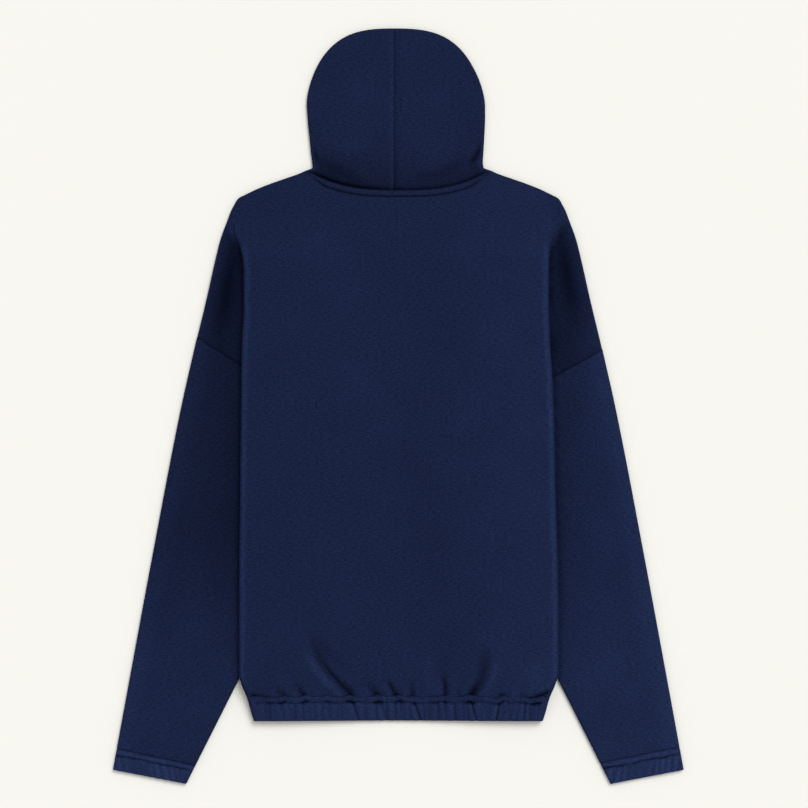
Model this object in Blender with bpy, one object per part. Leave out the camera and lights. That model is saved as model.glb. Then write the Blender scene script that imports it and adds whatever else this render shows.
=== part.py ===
# Zip-up hoodie in cotton fleece, laid flat face down, back up.
# +X is to the right, +Y towards the hood and +Z up from the surface it lies on.
# Lengths below are in millimetres and are scaled to metres when a mesh is made.
# "Out" is the distance from the centre line, the same on both sides of the garment.
import math
from bisect import bisect_right

import bmesh
import bpy
from mathutils import Vector

MM = 0.001
CLOTH = 2.4  # thickness of the fleece
PAIR = 1.6  # from the middle of a back-and-front pair to the middle of either layer
TURN = 3.0  # radius of the pair's middle where it turns under at the sides
GAP = 0.3  # between pieces that meet at a seam
LIP = 0.25  # height above the pair's middle where a closed edge has turned to upright
ROLL = PAIR - LIP  # radius of a closed edge's rounding
TABLE = PAIR + CLOTH / 2  # height of a pair's middle where it lies on the surface
EDGE = ROLL + CLOTH / 2  # from a closed edge in to the start of its rounding
REACH = TURN + PAIR + CLOTH / 2  # from a fold's outermost point in to its centre
LEVEL_SPARE = 2  # level cloth past the end of the tucked cloth
SLANT_SPARE = 0.08  # a slanting edge's rounding reaches a little less far out

ROLL_STEPS = 3  # facets in a quarter round
TURN_STEPS = 4  # facets in a turned-under fold
NECK_STEPS = 4  # facets from the centre to the neck point
YOKE_STEPS = 3  # facets from the neck point to the fold
ARM_STEPS = 2
CUFF_STEPS = 2
TAPE_STEPS = 22

SIDES = {"left": -1, "right": 1}

NAVY = (0.0085, 0.0135, 0.052, 1.0)
NICKEL = (0.55, 0.55, 0.56, 1.0)
TAPE_NAVY = (0.006, 0.009, 0.034, 1.0)


def table(columns, *rows):
    """One list for each named column of a table whose rows run down the garment."""
    return {name: [row[i] for row in rows] for i, name in enumerate(columns.split())}


def smooth(xs, ys, x):
    """The value at x of a smooth curve through the points, which never overshoots them."""
    if x <= xs[0]:
        return ys[0]
    if x >= xs[-1]:
        return ys[-1]
    i = bisect_right(xs, x) - 1
    slopes = [(ys[k + 1] - ys[k]) / (xs[k + 1] - xs[k]) for k in range(len(xs) - 1)]

    def tangent(k):
        if k in (0, len(slopes)):
            return slopes[min(k, len(slopes) - 1)]
        before, after = slopes[k - 1], slopes[k]
        return 2 * before * after / (before + after) if before * after > 0 else 0.0

    step = xs[i + 1] - xs[i]
    t = (x - xs[i]) / step
    return (
        (2 * t**3 - 3 * t**2 + 1) * ys[i]
        + (t**3 - 2 * t**2 + t) * tangent(i) * step
        + (3 * t**2 - 2 * t**3) * ys[i + 1]
        + (t**3 - t**2) * tangent(i + 1) * step
    )


def down(rows, column, y):
    """A column's value at the height y, in a table whose y falls from row to row."""
    return smooth([-v for v in rows["y"]], rows[column], -y)


# The shoulder line from the neck point to the corner, and the arm's outer edge from there to the cuff.
SHOULDER = table("out y", (109.5, 283), (117.6, 279.2), (134, 273.4), (155, 266), (172, 259), (186, 252))
ARM = table(
    "y out",
    (252, 186), (242, 196), (234, 200.6), (222, 205.2), (199, 213.6), (175, 219.6),
    (127, 230.4), (79, 242), (-5, 261), (-185, 295.8), (-324, 321.6), (-437, 342.4),
)

# How the body folds at each side. Edge is the fold's outermost point, turn is how far the cloth has
# turned there, in degrees, and tuck is how far the turned-under cloth runs back towards the centre.
PLEAT = table(
    "y edge_left edge_right turn tuck",
    (252, 181.7, 181.7, 0, 0),
    (241, 190, 189.5, 0, 0),
    (231, 195, 193.5, 0, 0),
    (220, 198, 193.5, 28, 0.2),
    (207, 195.5, 188.5, 62, 0.5),
    (192, 189.6, 183, 104, 1),
    (176, 186, 180.6, 158, 6),
    (158, 185, 180, 174, 17),
    (135, 185, 180, 178, 31),
    (110, 185, 180.5, 180, 46),
    (74, 187, 182, 180, 66),
    (38, 188, 184.5, 180, 87),
    (-35, 188.7, 187, 180, 128),
    (-47, 189, 187.2, 180, 128),
    (-110, 189.6, 188.4, 180, 102),
    (-190, 190.6, 190.8, 180, 69),
    (-260, 190.8, 191.8, 180, 40),
    (-318, 190.8, 191.8, 180, 17),
    (-331, 188.5, 188.5, 180, 12),
    (-347, 182, 182, 180, 8),
)
CORNER_ROW, START_ROW = 0, 7  # from the shoulder's top row to the first row that is level from side to side
# The armhole seam at the outer edge, the underarm, and the top of the side seam.
SEAM_ROW, UNDERARM_ROW, SIDE_ROW = 10, 12, 13

# Height of the middle of the turned-under cloth: over the sleeve, then down to the surface at the hem.
TUCK_HEIGHT = table("y height", (-35, 8.7), (-331, 8.7), (-347, 6.6), (-362, 3.9), (-377, TABLE))
HEM = table("y edge tuck", (-347, 182, 8), (-355, 179.6, 7.5), (-366, 176.8, 7), (-377, 173.4, 6.5))

# Each side's armhole seam and underarm.
ARMHOLE = {
    "left": {"outer_y": 81.6, "in_out": 47, "in_y": -40},
    "right": {"outer_y": 66.7, "in_out": 46, "in_y": -42},
}
CUFF_SEAM = {"left": {"outer_y": -411.7, "in_y": -431.6}, "right": {"outer_y": -409.4, "in_y": -428.6}}
CUFF_EDGE = {"outer_y": -436.2, "in_out": 254.6, "in_y": -453}
NOTCH = {"out": 191.4, "y": -327.6}  # where the sleeve's inner edge comes out from under the body
SLEEVE_RINGS = 6

NECK_POINT = (109.5, 283)
BACK_NECK_Y = 259.2
BACK_NECK_POWER = 2.8  # how late the back neckline turns up
FRONT_NECK_Y = 205
FRONT_EDGE = 6.8  # the front panels' edges beside the zip

# The crown lies a little to the left of the neck, and the centre seam lies straight.
HOOD_LEAN = table(
    "y lean",
    (452, -4.2), (415, -4.2), (391, -3.6), (367, -3.1), (343, -2.3), (319, -1.7), (295, -1.1), (283, 0),
)
SEAM_LEAN = -4.2
DOME = {"y": 360, "half_width": 106.8, "height": 92.9, "side_power": 1.9, "top_power": 2.6}
HOOD_SIDE = table(
    "y out",
    (360, 106.8), (343, 106.2), (319, 104.4), (307, 103.3), (295, 102.1), (288, 103.2), (283, 109.5),
)
NECK_NEAR_Y = 300  # the hood's rows below this follow the neckline
HOOD_HEART_Y = 352  # where the rows of the dome meet on the centre seam
DOME_ROWS, HOOD_SIDE_ROWS = 7, 4
# The face opening's edge on the hood's underside, from the crown down to the front neck.
FACE_EDGE = table(
    "y out",
    (418, GAP / 2), (410, 26), (385, 42), (345, 47), (300, 40), (262, 26), (225, FRONT_EDGE),
)

# The slider beneath lifts the cloth near the neck, and the tucked cloth lifts it along the centre.
NECK_RISE = {"y": 197, "reach_out": 72, "reach_y": 70, "height": 4.2}
CENTRE_RISE = {"y": -38, "reach_y": 190, "height": 5.6}

ZIP = {
    "half_tape": 6.5, "tape": 1.2, "half_chain": 3.0, "chain": 2.0, "bevel": 0.5,
    "top_y": 197.5, "bottom_y": -366.5,
    "drop": 0.2, "drop_at_slider": 0.6,  # below the middle of the front panels
}
SLIDER = {"top_y": 200.5, "bottom_y": 189, "half_width": 4.5, "plate": 0.7, "clear": 0.4, "post": 2.2}
BRIDGE = {"top_y": 198, "bottom_y": 191, "half_width": 1.0, "leg": 1.2, "bar": 0.8, "hole": 1.35}
PULL = {
    "axis_y": 193.2, "thick": 0.9, "bar": 1.0, "arm": 6.2, "length": 25, "half_width": 3.4, "tilt": 2.6,
    "corner": 0.9, "eye_wall": 1.3, "eye_corner": 0.3, "eye_far_corner": 0.5,
}
BOX = {"top_y": -366.8, "bottom_y": -376, "half_width": 4.2, "thick": 2.5, "clear": 0.1}


def bump(t):
    """1 at 0, falling smoothly to 0 at 1 and beyond."""
    return 0.5 + 0.5 * math.cos(math.pi * min(1.0, abs(t)))


def neck_rise(out, y):
    return NECK_RISE["height"] * bump(
        math.hypot(out / NECK_RISE["reach_out"], (y - NECK_RISE["y"]) / NECK_RISE["reach_y"])
    )


def shoulder_y(out):
    return smooth(SHOULDER["out"], SHOULDER["y"], out)


def back_neck(t):
    """A point of the back neckline, from the centre at 0 to the neck point at 1."""
    out, y = NECK_POINT
    return out * t, BACK_NECK_Y + (y - BACK_NECK_Y) * t**BACK_NECK_POWER


def front_neck(t):
    """A point of the front neckline, from the zip at 0 to the neck point at 1."""
    out, y = NECK_POINT
    angle = t * math.pi / 2
    return FRONT_EDGE + (out - FRONT_EDGE) * math.sin(angle), y - (y - FRONT_NECK_Y) * math.cos(angle)


def base_height(out, y):
    """Height of a pair's middle near the centre line, where nothing is folded under it."""
    rise = CENTRE_RISE["height"] * bump((y - CENTRE_RISE["y"]) / CENTRE_RISE["reach_y"])
    return TABLE + neck_rise(out, y) + rise


def fold_section(side, row):
    """How back and front fold at one row: the turn, the tucked length, the height and the fold's centre."""
    y = PLEAT["y"][row]
    edge, tuck = PLEAT["edge_" + side][row], PLEAT["tuck"][row]
    turn = math.radians(PLEAT["turn"][row])
    if row <= UNDERARM_ROW:
        high = TABLE + 2 * TURN * (1 - math.cos(turn)) + tuck * math.sin(turn)
    else:
        high = down(TUCK_HEIGHT, "height", y) + 2 * TURN
    return {"turn": turn, "tuck": tuck, "high": high, "centre": edge - REACH}


def turned(section, arm_end):
    """Stations past the body: the turn under, the cloth tucked back, the turn out again and the upper arm."""
    turn, out, height = section["turn"], section["centre"], section["high"]
    found = []
    for k in range(1, TURN_STEPS + 1):
        angle = turn * k / TURN_STEPS
        found.append((out + TURN * math.sin(angle), height - TURN * (1 - math.cos(angle)), angle))
    tuck = section["tuck"]
    out, height = found[-1][0] + tuck * math.cos(turn), found[-1][1] - tuck * math.sin(turn)
    found.append((out, height, turn))
    if arm_end is None:
        return found
    for k in range(1, TURN_STEPS + 1):
        angle = turn * (1 - k / TURN_STEPS)
        found.append((
            out + TURN * (math.sin(turn) - math.sin(angle)),
            height - TURN * (math.cos(angle) - math.cos(turn)),
            angle,
        ))
    start = found[-1][0]
    for k in range(1, ARM_STEPS + 1):
        found.append((start + (arm_end - start) * k / ARM_STEPS, TABLE, 0.0))
    return found


def seam_out(side, y):
    """How far out the armhole seam is at the height y."""
    a = ARMHOLE[side]
    outer = down(ARM, "out", a["outer_y"])
    return a["in_out"] + (outer - a["in_out"]) * (y - a["in_y"]) / (a["outer_y"] - a["in_y"])


def side_y(side, row):
    """The height at which a row meets the fold: the seam's row slants to its own side's seam."""
    y = PLEAT["y"][row]
    shift = ARMHOLE[side]["outer_y"] + GAP / 2 - PLEAT["y"][SEAM_ROW]
    return y + shift * max(0.0, 1 - abs(row - SEAM_ROW) / 3)


def body_rows(side, front):
    """The rows of a back or front panel on one side, each a list of (out, y, height)."""
    layer = -PAIR if front else PAIR
    rows = []
    for row, centre_y in enumerate(PLEAT["y"]):
        section = fold_section(side, row)
        far_y = side_y(side, row)
        arm_end = None
        if row <= UNDERARM_ROW:
            arm_end = down(ARM, "out", far_y) - EDGE - SLANT_SPARE
            if row > SEAM_ROW:
                arm_end = seam_out(side, far_y) - GAP / 2
        blend = min(1.0, row / START_ROW)
        inner = section["centre"] - (section["tuck"] + REACH + LEVEL_SPARE if row > CORNER_ROW else 0)
        points = []
        for k in range(NECK_STEPS + YOKE_STEPS + 1):
            t = min(1.0, k / NECK_STEPS)
            top_out, top_y = front_neck(t) if front else back_neck(t)
            if k > NECK_STEPS:
                top_out += (section_corner() - top_out) * (k - NECK_STEPS) / YOKE_STEPS
                top_y = shoulder_y(top_out) - EDGE
            elif k == NECK_STEPS:
                top_y -= EDGE
            start = FRONT_EDGE if front else 0.0
            level_out = start + (inner - start) * t
            if k > NECK_STEPS:
                level_out = inner + (section["centre"] - inner) * (k - NECK_STEPS) / YOKE_STEPS
            out = top_out + (level_out - top_out) * blend
            base_y = PLEAT["y"][START_ROW]
            level_y = centre_y if row > START_ROW else base_y
            y = top_y + (level_y - top_y) * blend
            y += (far_y - centre_y) * min(1.0, out / section["centre"])
            if row and row < START_ROW and k >= NECK_STEPS:
                y += (far_y - y) * (k - NECK_STEPS) / YOKE_STEPS
            low = base_height(out, y)
            rise = 1.0 - bump(out / max(inner, 1.0)) if out < inner else 1.0
            points.append((out, y, low + (section["high"] - low) * rise * (row > 2) + layer))
        for out, height, angle in turned(section, arm_end):
            y = far_y
            if row == CORNER_ROW:
                y = shoulder_y(out) - EDGE
            points.append((out + layer * math.sin(angle), y, height + layer * math.cos(angle)))
        rows.append(points)
    return rows


def section_corner():
    """How far out the body run ends on the top row."""
    return PLEAT["edge_left"][CORNER_ROW] - REACH


def placed(side, point, lean=0.0):
    out, y, height = point
    return Vector((SIDES[side] * out + lean, y, height)) * MM


def rolled(boundary, outward, lift):
    """Rows that carry an open edge on through a quarter round towards the other layer, up to half the gap."""
    angles = [math.pi / 2 * k / ROLL_STEPS for k in range(1, ROLL_STEPS + 1)]
    steps = [(ROLL * math.sin(a), ROLL * (1 - math.cos(a))) for a in angles]
    steps.append((ROLL, PAIR - GAP / 2))
    rows = [boundary]
    for away, over in steps:
        rise = Vector((0, 0, lift * over))
        rows.append([Vector(p) + Vector(o) * away + rise for p, o in zip(boundary, outward)])
    return rows


def outward_of(boundary):
    """The level direction away from the cloth at each point of an edge from the neck down the arm."""
    found = []
    for k in range(len(boundary)):
        before = Vector(boundary[max(0, k - 1)])
        after = Vector(boundary[min(len(boundary) - 1, k + 1)])
        along = after - before
        found.append(Vector((-along.y, along.x, 0)).normalized())
    return found


def cloth_object(name, patches, colour=NAVY, thickness=CLOTH):
    """One piece of cloth: its middle surface from rows of points, thickened both ways."""
    build = bmesh.new()
    for rows in patches:
        made = [[build.verts.new(p) for p in row] for row in rows]
        for upper, lower in zip(made, made[1:]):
            for k in range(min(len(upper), len(lower)) - 1):
                build.faces.new((upper[k], upper[k + 1], lower[k + 1], lower[k]))
    bmesh.ops.remove_doubles(build, verts=build.verts, dist=0.01 * MM)
    bmesh.ops.dissolve_degenerate(build, edges=build.edges, dist=0.01 * MM)
    bmesh.ops.recalc_face_normals(build, faces=build.faces)
    piece = mesh_object(name, build, colour, roughness=0.95)
    wall = piece.modifiers.new("Cloth", "SOLIDIFY")
    wall.thickness = thickness * MM
    wall.offset = 0
    return piece


def mesh_object(name, build, colour, roughness, metallic=0.0):
    mesh = bpy.data.meshes.new(name)
    build.to_mesh(mesh)
    build.free()
    mesh.shade_smooth()
    mesh.set_sharp_from_angle(angle=math.radians(50))
    piece = bpy.data.objects.new(name, mesh)
    bpy.context.scene.collection.objects.link(piece)
    mesh.materials.append(finish(colour, roughness, metallic))
    return piece


def finish(colour, roughness, metallic):
    name = "finish_%02x%02x%02x" % tuple(round(255 * c) for c in colour[:3])
    found = bpy.data.materials.get(name)
    if found:
        return found
    made = bpy.data.materials.new(name)
    made.use_nodes = True
    shader = made.node_tree.nodes["Principled BSDF"]
    shader.inputs["Base Color"].default_value = colour
    shader.inputs["Roughness"].default_value = roughness
    shader.inputs["Metallic"].default_value = metallic
    return made


def body_patches(side, front):
    """The panel on one side, with its shoulder, arm and side-seam edges rounded towards the other layer."""
    rows = body_rows(side, front)
    lift = 1 if front else -1  # towards the other layer
    patches = [rows]
    edge = rows[CORNER_ROW][NECK_STEPS:] + [row[-1] for row in rows[1 : SEAM_ROW + 1]]
    patches.append(rolled(edge, outward_of(edge), lift))
    seam = [row[-1] for row in rows[SIDE_ROW:]]
    patches.append(rolled(seam, [Vector((-1, 0, 0))] * len(seam), -lift))
    return [[[placed(side, p) for p in row] for row in patch] for patch in patches]


def body_panels():
    cloth_object("back_panel", body_patches("left", False) + body_patches("right", False))
    for side in SIDES:
        cloth_object("front_" + side, body_patches(side, True))


def ring(outer, inner):
    """The middle line of a flattened tube's wall between its outer and inner edges, as a closed ring."""
    outer, inner = Vector((*outer, 0)), Vector((*inner, 0))
    across = (outer - inner).normalized()
    outer, inner = outer - across * EDGE, inner + across * EDGE
    points = [inner + (outer - inner) * k / 3 + Vector((0, 0, TABLE + PAIR)) for k in range(4)]
    half = 2 * ROLL_STEPS - 2
    for k in range(1, half):
        angle = math.pi * k / half
        height = TABLE + PAIR * math.cos(angle)
        points.append(outer + across * PAIR * math.sin(angle) + Vector((0, 0, height)))
    points += [outer + (inner - outer) * k / 3 + Vector((0, 0, TABLE - PAIR)) for k in range(4)]
    for k in range(1, half):
        angle = math.pi * k / half
        height = TABLE - PAIR * math.cos(angle)
        points.append(inner - across * PAIR * math.sin(angle) + Vector((0, 0, height)))
    return points + points[:1]


def inner_edge(side, y):
    """How far out the sleeve's inner edge is at the height y."""
    a = ARMHOLE[side]
    falls = [-a["in_y"], -NOTCH["y"], -CUFF_EDGE["in_y"]]
    return smooth(falls, [a["in_out"], NOTCH["out"], CUFF_EDGE["in_out"]], -y)


def sleeve_rows(side, top, end, steps):
    """Rings from one (outer y, inner y) to another."""
    rows = []
    for k in range(steps + 1):
        outer_y, in_y = (a + (b - a) * k / steps for a, b in zip(top, end))
        points = ring((down(ARM, "out", outer_y), outer_y), (inner_edge(side, in_y), in_y))
        rows.append([placed(side, p) for p in points])
    return rows


def sleeves_and_cuffs():
    for side, a in ARMHOLE.items():
        seam, edge = CUFF_SEAM[side], CUFF_EDGE
        top = (a["outer_y"] - GAP / 2, a["in_y"] - GAP)
        end = (seam["outer_y"] + GAP / 2, seam["in_y"] + GAP / 2)
        cloth_object("sleeve_" + side, [sleeve_rows(side, top, end, SLEEVE_RINGS)])
        top = (seam["outer_y"] - GAP / 2, seam["in_y"] - GAP / 2)
        cloth_object("cuff_" + side, [sleeve_rows(side, top, (edge["outer_y"], edge["in_y"]), CUFF_STEPS)])


def hem_section(side, row):
    """The hem casing's ring on one side, from the back's centre round the side to the front's edge."""
    y = HEM["y"][row] - (GAP if row == 0 else 0)
    section = {
        "turn": math.pi, "tuck": HEM["tuck"][row], "centre": HEM["edge"][row] - REACH,
        "high": down(TUCK_HEIGHT, "height", y) + 2 * TURN,
    }
    inner = section["centre"] - section["tuck"] - REACH - LEVEL_SPARE
    line = []
    for k in range(NECK_STEPS + YOKE_STEPS + 1):
        t = min(1.0, k / NECK_STEPS)
        past = max(0, k - NECK_STEPS) / YOKE_STEPS
        out = inner * t + (section["centre"] - inner) * past
        low = base_height(out, y)
        line.append((out, low + (section["high"] - low) * (1.0 - bump(t)), 0.0))
    line += turned(section, None)
    back = [(out + PAIR * math.sin(a), y, h + PAIR * math.cos(a)) for out, h, a in line]
    front = [(out - PAIR * math.sin(a), y, h - PAIR * math.cos(a)) for out, h, a in line]
    front[0] = (FRONT_EDGE, y, front[0][2])
    out, height, _ = line[-1]
    half = 2 * ROLL_STEPS - 2
    end = [
        (out - PAIR * math.sin(math.pi * k / half), y, height - PAIR * math.cos(math.pi * k / half))
        for k in range(1, half)
    ]
    return back + end + front[::-1]


def hem_band():
    rows = range(len(HEM["y"]))
    patches = [[[placed(side, p) for p in hem_section(side, row)] for row in rows] for side in SIDES]
    cloth_object("hem_band", patches)


def hood_outline(k):
    """The hood's outer edge: rows over the dome from the crown, then down the side to the neck point."""
    if k <= DOME_ROWS:
        angle = math.pi / 2 * (1 - k / DOME_ROWS)
        c, s = max(0.0, math.cos(angle)), max(0.0, math.sin(angle))
        power = DOME["side_power"] + (DOME["top_power"] - DOME["side_power"]) * s**2
        reach = (c**power + s**power) ** (-1 / power)
        return DOME["half_width"] * c * reach, DOME["y"] + DOME["height"] * s * reach
    y = DOME["y"] + (NECK_POINT[1] - DOME["y"]) * (k - DOME_ROWS) / HOOD_SIDE_ROWS
    return down(HOOD_SIDE, "out", y), y


def face_edge(t):
    """A point of the face opening's edge, from the crown at 0 to the front neck at 1."""
    y = FACE_EDGE["y"][0] + (FACE_EDGE["y"][-1] - FACE_EDGE["y"][0]) * t
    return down(FACE_EDGE, "out", y), y


def hood_rows():
    """A hood panel's rows: over the top and its rounded edge, back underneath, and on to the front neck."""
    last = DOME_ROWS + HOOD_SIDE_ROWS
    outline = [hood_outline(k) for k in range(last + 1)]
    edge = [Vector((out, y, 0)) for out, y in outline]
    outward = outward_of(edge)
    outward[0] = Vector((0, 1, 0))
    outward[-1] = Vector((1, 0, 0))
    neck_start_y, neck_end = hood_neck(back_neck, 0)[1], hood_neck(back_neck, 1)
    upper, lower = [], []
    for k in range(last + 1):
        rim = edge[k] - outward[k] * EDGE
        down_side = max(0.0, (k - DOME_ROWS) / HOOD_SIDE_ROWS)
        rim.x = max(rim.x, GAP / 2)
        heart_y = HOOD_HEART_Y + (BACK_NECK_Y + GAP - HOOD_HEART_Y) * down_side
        row = []
        for j in range(NECK_STEPS + 1):
            t = j / NECK_STEPS
            out = GAP / 2 + (rim.x - GAP / 2) * t
            y = heart_y + (rim.y - heart_y) * t
            if down_side > 0:  # the rows bend from straight to the neckline's curve
                neck_out, neck_y = hood_neck(back_neck, t)
                straight_y = neck_start_y + (neck_end[1] - neck_start_y) * t
                y += (neck_y - straight_y) * down_side**2 + (neck_end[1] - rim.y) * t * down_side**6
                out += (neck_out * rim.x / neck_end[0] - out) * down_side**3
            row.append((max(out, GAP / 2), y, TABLE + PAIR + neck_rise(out, y)))
        rim = Vector(row[-1])
        for j in range(1, 2 * ROLL_STEPS - 2):
            angle = math.pi * j / (2 * ROLL_STEPS - 2)
            p = rim + outward[k] * PAIR * math.sin(angle) - Vector((0, 0, PAIR * (1 - math.cos(angle))))
            row.append((max(p.x, GAP / 2), p.y, p.z))
        upper.append(row)
        lower.append(underside((rim.x, rim.y), k / (last + NECK_STEPS)))
    below = [lower[-1]]
    for j in range(NECK_STEPS - 1, -1, -1):
        share = (last + NECK_STEPS - j) / (last + NECK_STEPS)
        below.append(underside(hood_neck(front_neck, j / NECK_STEPS), share))
    return upper, lower, below


def hood_neck(neckline, t):
    """The hood's side of a neckline: its points moved off the body's edge, and short of the shoulder."""
    out, y = neckline(t)
    if t == 1:
        before = neckline(1 - 1 / NECK_STEPS)
        end = out - EDGE - GAP
        slope = (y - EDGE - before[1]) / (out - before[0])
        return end, before[1] + slope * (end - before[0]) + 3 * GAP
    ahead, behind = neckline(t + 0.01), neckline(max(0, t - 0.01))
    along = Vector((ahead[0] - behind[0], ahead[1] - behind[1])).normalized()
    return out - along.y * GAP, y + along.x * GAP


def underside(start, t):
    """The hood's lower layer from its outer edge, or from the front neckline, to the face opening."""
    end = face_edge(t)
    row = []
    for j in range(NECK_STEPS):
        share = j / (NECK_STEPS - 1)
        out, y = (a + (b - a) * share for a, b in zip(start, end))
        row.append((max(out, GAP / 2), y, TABLE - PAIR + neck_rise(out, y)))
    return row


def top_placed(side, point):
    """A point of the hood's upper layer, which leans with the crown but keeps its centre seam straight."""
    out, y, height = point
    share = min(1.0, out / down(HOOD_SIDE, "out", y))
    share = share**2 * (3 - 2 * share)
    lean = SEAM_LEAN + (down(HOOD_LEAN, "lean", y) - SEAM_LEAN) * share
    near_neck = min(1.0, max(0.0, (NECK_NEAR_Y - y) / (NECK_NEAR_Y - NECK_POINT[1])))
    slide = back_neck_y(out + SIDES[side] * lean) - back_neck_y(out)  # keeps to the neckline's curve
    return placed(side, (out, y + slide * near_neck, height), lean)


def back_neck_y(out):
    return back_neck(min(1.0, abs(out) / NECK_POINT[0]))[1]


def low_placed(side, point):
    return placed(side, point, down(HOOD_LEAN, "lean", point[1]))


def hood():
    for side in SIDES:
        upper, lower, below = hood_rows()
        rows = [
            [top_placed(side, p) for p in row] + [low_placed(side, p) for p in under]
            for row, under in zip(upper, lower)
        ]
        below = [[low_placed(side, p) for p in row] for row in below]
        cloth_object("hood_" + side, [rows, below])


def zip_height(y):
    """Height of the chain's middle, in the plane of the fronts, which the slider lifts off the surface."""
    front = base_height(FRONT_EDGE, y) - PAIR
    lifted = neck_rise(0, y) / NECK_RISE["height"]
    return front - ZIP["drop"] - ZIP["drop_at_slider"] * lifted


def zip_tape():
    """The tape with the closed chain along its middle, as one wall through sections down the front."""
    z = ZIP
    half = (
        (-z["half_tape"], z["tape"] / 2), (-z["half_chain"], z["tape"] / 2),
        (-z["half_chain"] + z["bevel"], z["chain"] / 2), (z["half_chain"] - z["bevel"], z["chain"] / 2),
        (z["half_chain"], z["tape"] / 2), (z["half_tape"], z["tape"] / 2),
    )
    outline = list(half) + [(x, -h) for x, h in reversed(half)]
    build = bmesh.new()
    made = []
    for k in range(TAPE_STEPS + 1):
        y = z["top_y"] + (z["bottom_y"] - z["top_y"]) * k / TAPE_STEPS
        made.append([build.verts.new(Vector((x, y, zip_height(y) + h)) * MM) for x, h in outline])
    for upper, lower in zip(made, made[1:]):
        for k in range(len(outline)):
            n = (k + 1) % len(outline)
            build.faces.new((upper[k], upper[n], lower[n], lower[k]))
    build.faces.new(made[0])
    build.faces.new(made[-1][::-1])
    bmesh.ops.recalc_face_normals(build, faces=build.faces)
    mesh_object("zip_tape", build, TAPE_NAVY, roughness=0.7)


def prism(name, outline, half_width, colour=NICKEL):
    """A side outline, as (y, height) points, extruded to both sides of the centre line."""
    build = bmesh.new()
    left, right = (
        [build.verts.new(Vector((x, y, z)) * MM) for y, z in outline] for x in (-half_width, half_width)
    )
    build.faces.new(left)
    build.faces.new(right[::-1])
    for k in range(len(outline)):
        n = (k + 1) % len(outline)
        build.faces.new((left[n], left[k], right[k], right[n]))
    bmesh.ops.recalc_face_normals(build, faces=build.faces)
    return mesh_object(name, build, colour, roughness=0.35, metallic=1.0)


def zip_slider():
    """Two plates round the chain, joined past its end, with the bridge that holds the pull below them."""
    s, b = SLIDER, BRIDGE
    chain = zip_height((s["top_y"] + s["bottom_y"]) / 2)
    inner = ZIP["chain"] / 2 + s["clear"]
    outer = inner + s["plate"]
    top, bottom, post = s["top_y"], s["bottom_y"], s["top_y"] - s["post"]
    outline = (
        (bottom, chain + outer), (top, chain + outer), (top, chain - outer), (bottom, chain - outer),
        (bottom, chain - inner), (post, chain - inner), (post, chain + inner), (bottom, chain + inner),
    )
    slider = prism("zip_slider", outline, s["half_width"])
    top, bottom, leg = b["top_y"], b["bottom_y"], b["leg"]
    under, root = chain - outer - b["hole"], chain - outer + s["plate"] / 2
    low = under - b["bar"]
    outline = (
        (bottom, root), (bottom, low), (top, low), (top, root),
        (top - leg, root), (top - leg, under), (bottom + leg, under), (bottom + leg, root),
    )
    bridge = prism("zip_bridge", outline, b["half_width"])
    bridge.hide_render = True
    bridge.display_type = "WIRE"
    joined = slider.modifiers.new("Bridge", "BOOLEAN")
    joined.operation = "UNION"
    joined.object = bridge
    return chain - outer - b["hole"] / 2


def zip_pull(axis_height):
    """A flat tab with an eye, whose end bar passes under the slider's bridge. Its origin is on that bar."""
    p = PULL
    half, eye = p["half_width"], p["half_width"] - p["eye_wall"]
    corner, near_corner, far_corner = p["corner"], p["eye_corner"], p["eye_far_corner"]
    far, near = p["length"] - p["bar"] / 2, -p["bar"] / 2
    eye_near, eye_far = p["bar"] / 2, p["arm"]
    outline = [
        (-half + corner, near), (half - corner, near), (half, near + corner), (half, far * 0.5),
        (half, far - 2 * corner), (half - 2 * corner, far), (-half + 2 * corner, far),
        (-half, far - 2 * corner), (-half, far * 0.5), (-half, near + corner),
    ]
    hole = [
        (-eye + near_corner, eye_near), (eye - near_corner, eye_near), (eye, eye_near + near_corner),
        (eye, (eye_near + eye_far) / 2), (eye, eye_far - far_corner), (eye - far_corner, eye_far),
        (-eye + far_corner, eye_far), (-eye, eye_far - far_corner), (-eye, (eye_near + eye_far) / 2),
        (-eye, eye_near + near_corner),
    ]
    build = bmesh.new()
    loops = [
        [build.verts.new(Vector((x, -y, z)) * MM) for x, y in points]
        for points in (outline, hole)
        for z in (-p["thick"] / 2, p["thick"] / 2)
    ]
    low_out, high_out, low_in, high_in = loops
    for first, second in ((low_out, high_out), (high_out, high_in), (high_in, low_in), (low_in, low_out)):
        for k in range(len(outline)):
            n = (k + 1) % len(outline)
            build.faces.new((first[k], first[n], second[n], second[k]))
    bmesh.ops.recalc_face_normals(build, faces=build.faces)
    pull = mesh_object("zip_pull", build, NICKEL, roughness=0.35, metallic=1.0)
    pull.location = Vector((0, p["axis_y"], axis_height)) * MM
    pull.rotation_euler.x = math.radians(p["tilt"])


def zip_box():
    low, high = BOX["clear"], BOX["clear"] + BOX["thick"]
    bottom, top = BOX["bottom_y"], BOX["top_y"]
    prism("zip_box", ((bottom, low), (top, low), (top, high), (bottom, high)), BOX["half_width"])


def main():
    for old in list(bpy.data.objects):
        bpy.data.objects.remove(old)
    body_panels()
    sleeves_and_cuffs()
    hem_band()
    hood()
    zip_tape()
    zip_pull(zip_slider())
    zip_box()


main()
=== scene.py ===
# Zip-up hoodie in brushed cotton fleece, laid face down on a pale surface.
# Sizes are in millimetres, +x to the right, +y towards the hood and z up from the surface;
# "out" is the distance from the centre line. Meshes are scaled to metres when they are made.
import math
import random

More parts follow.
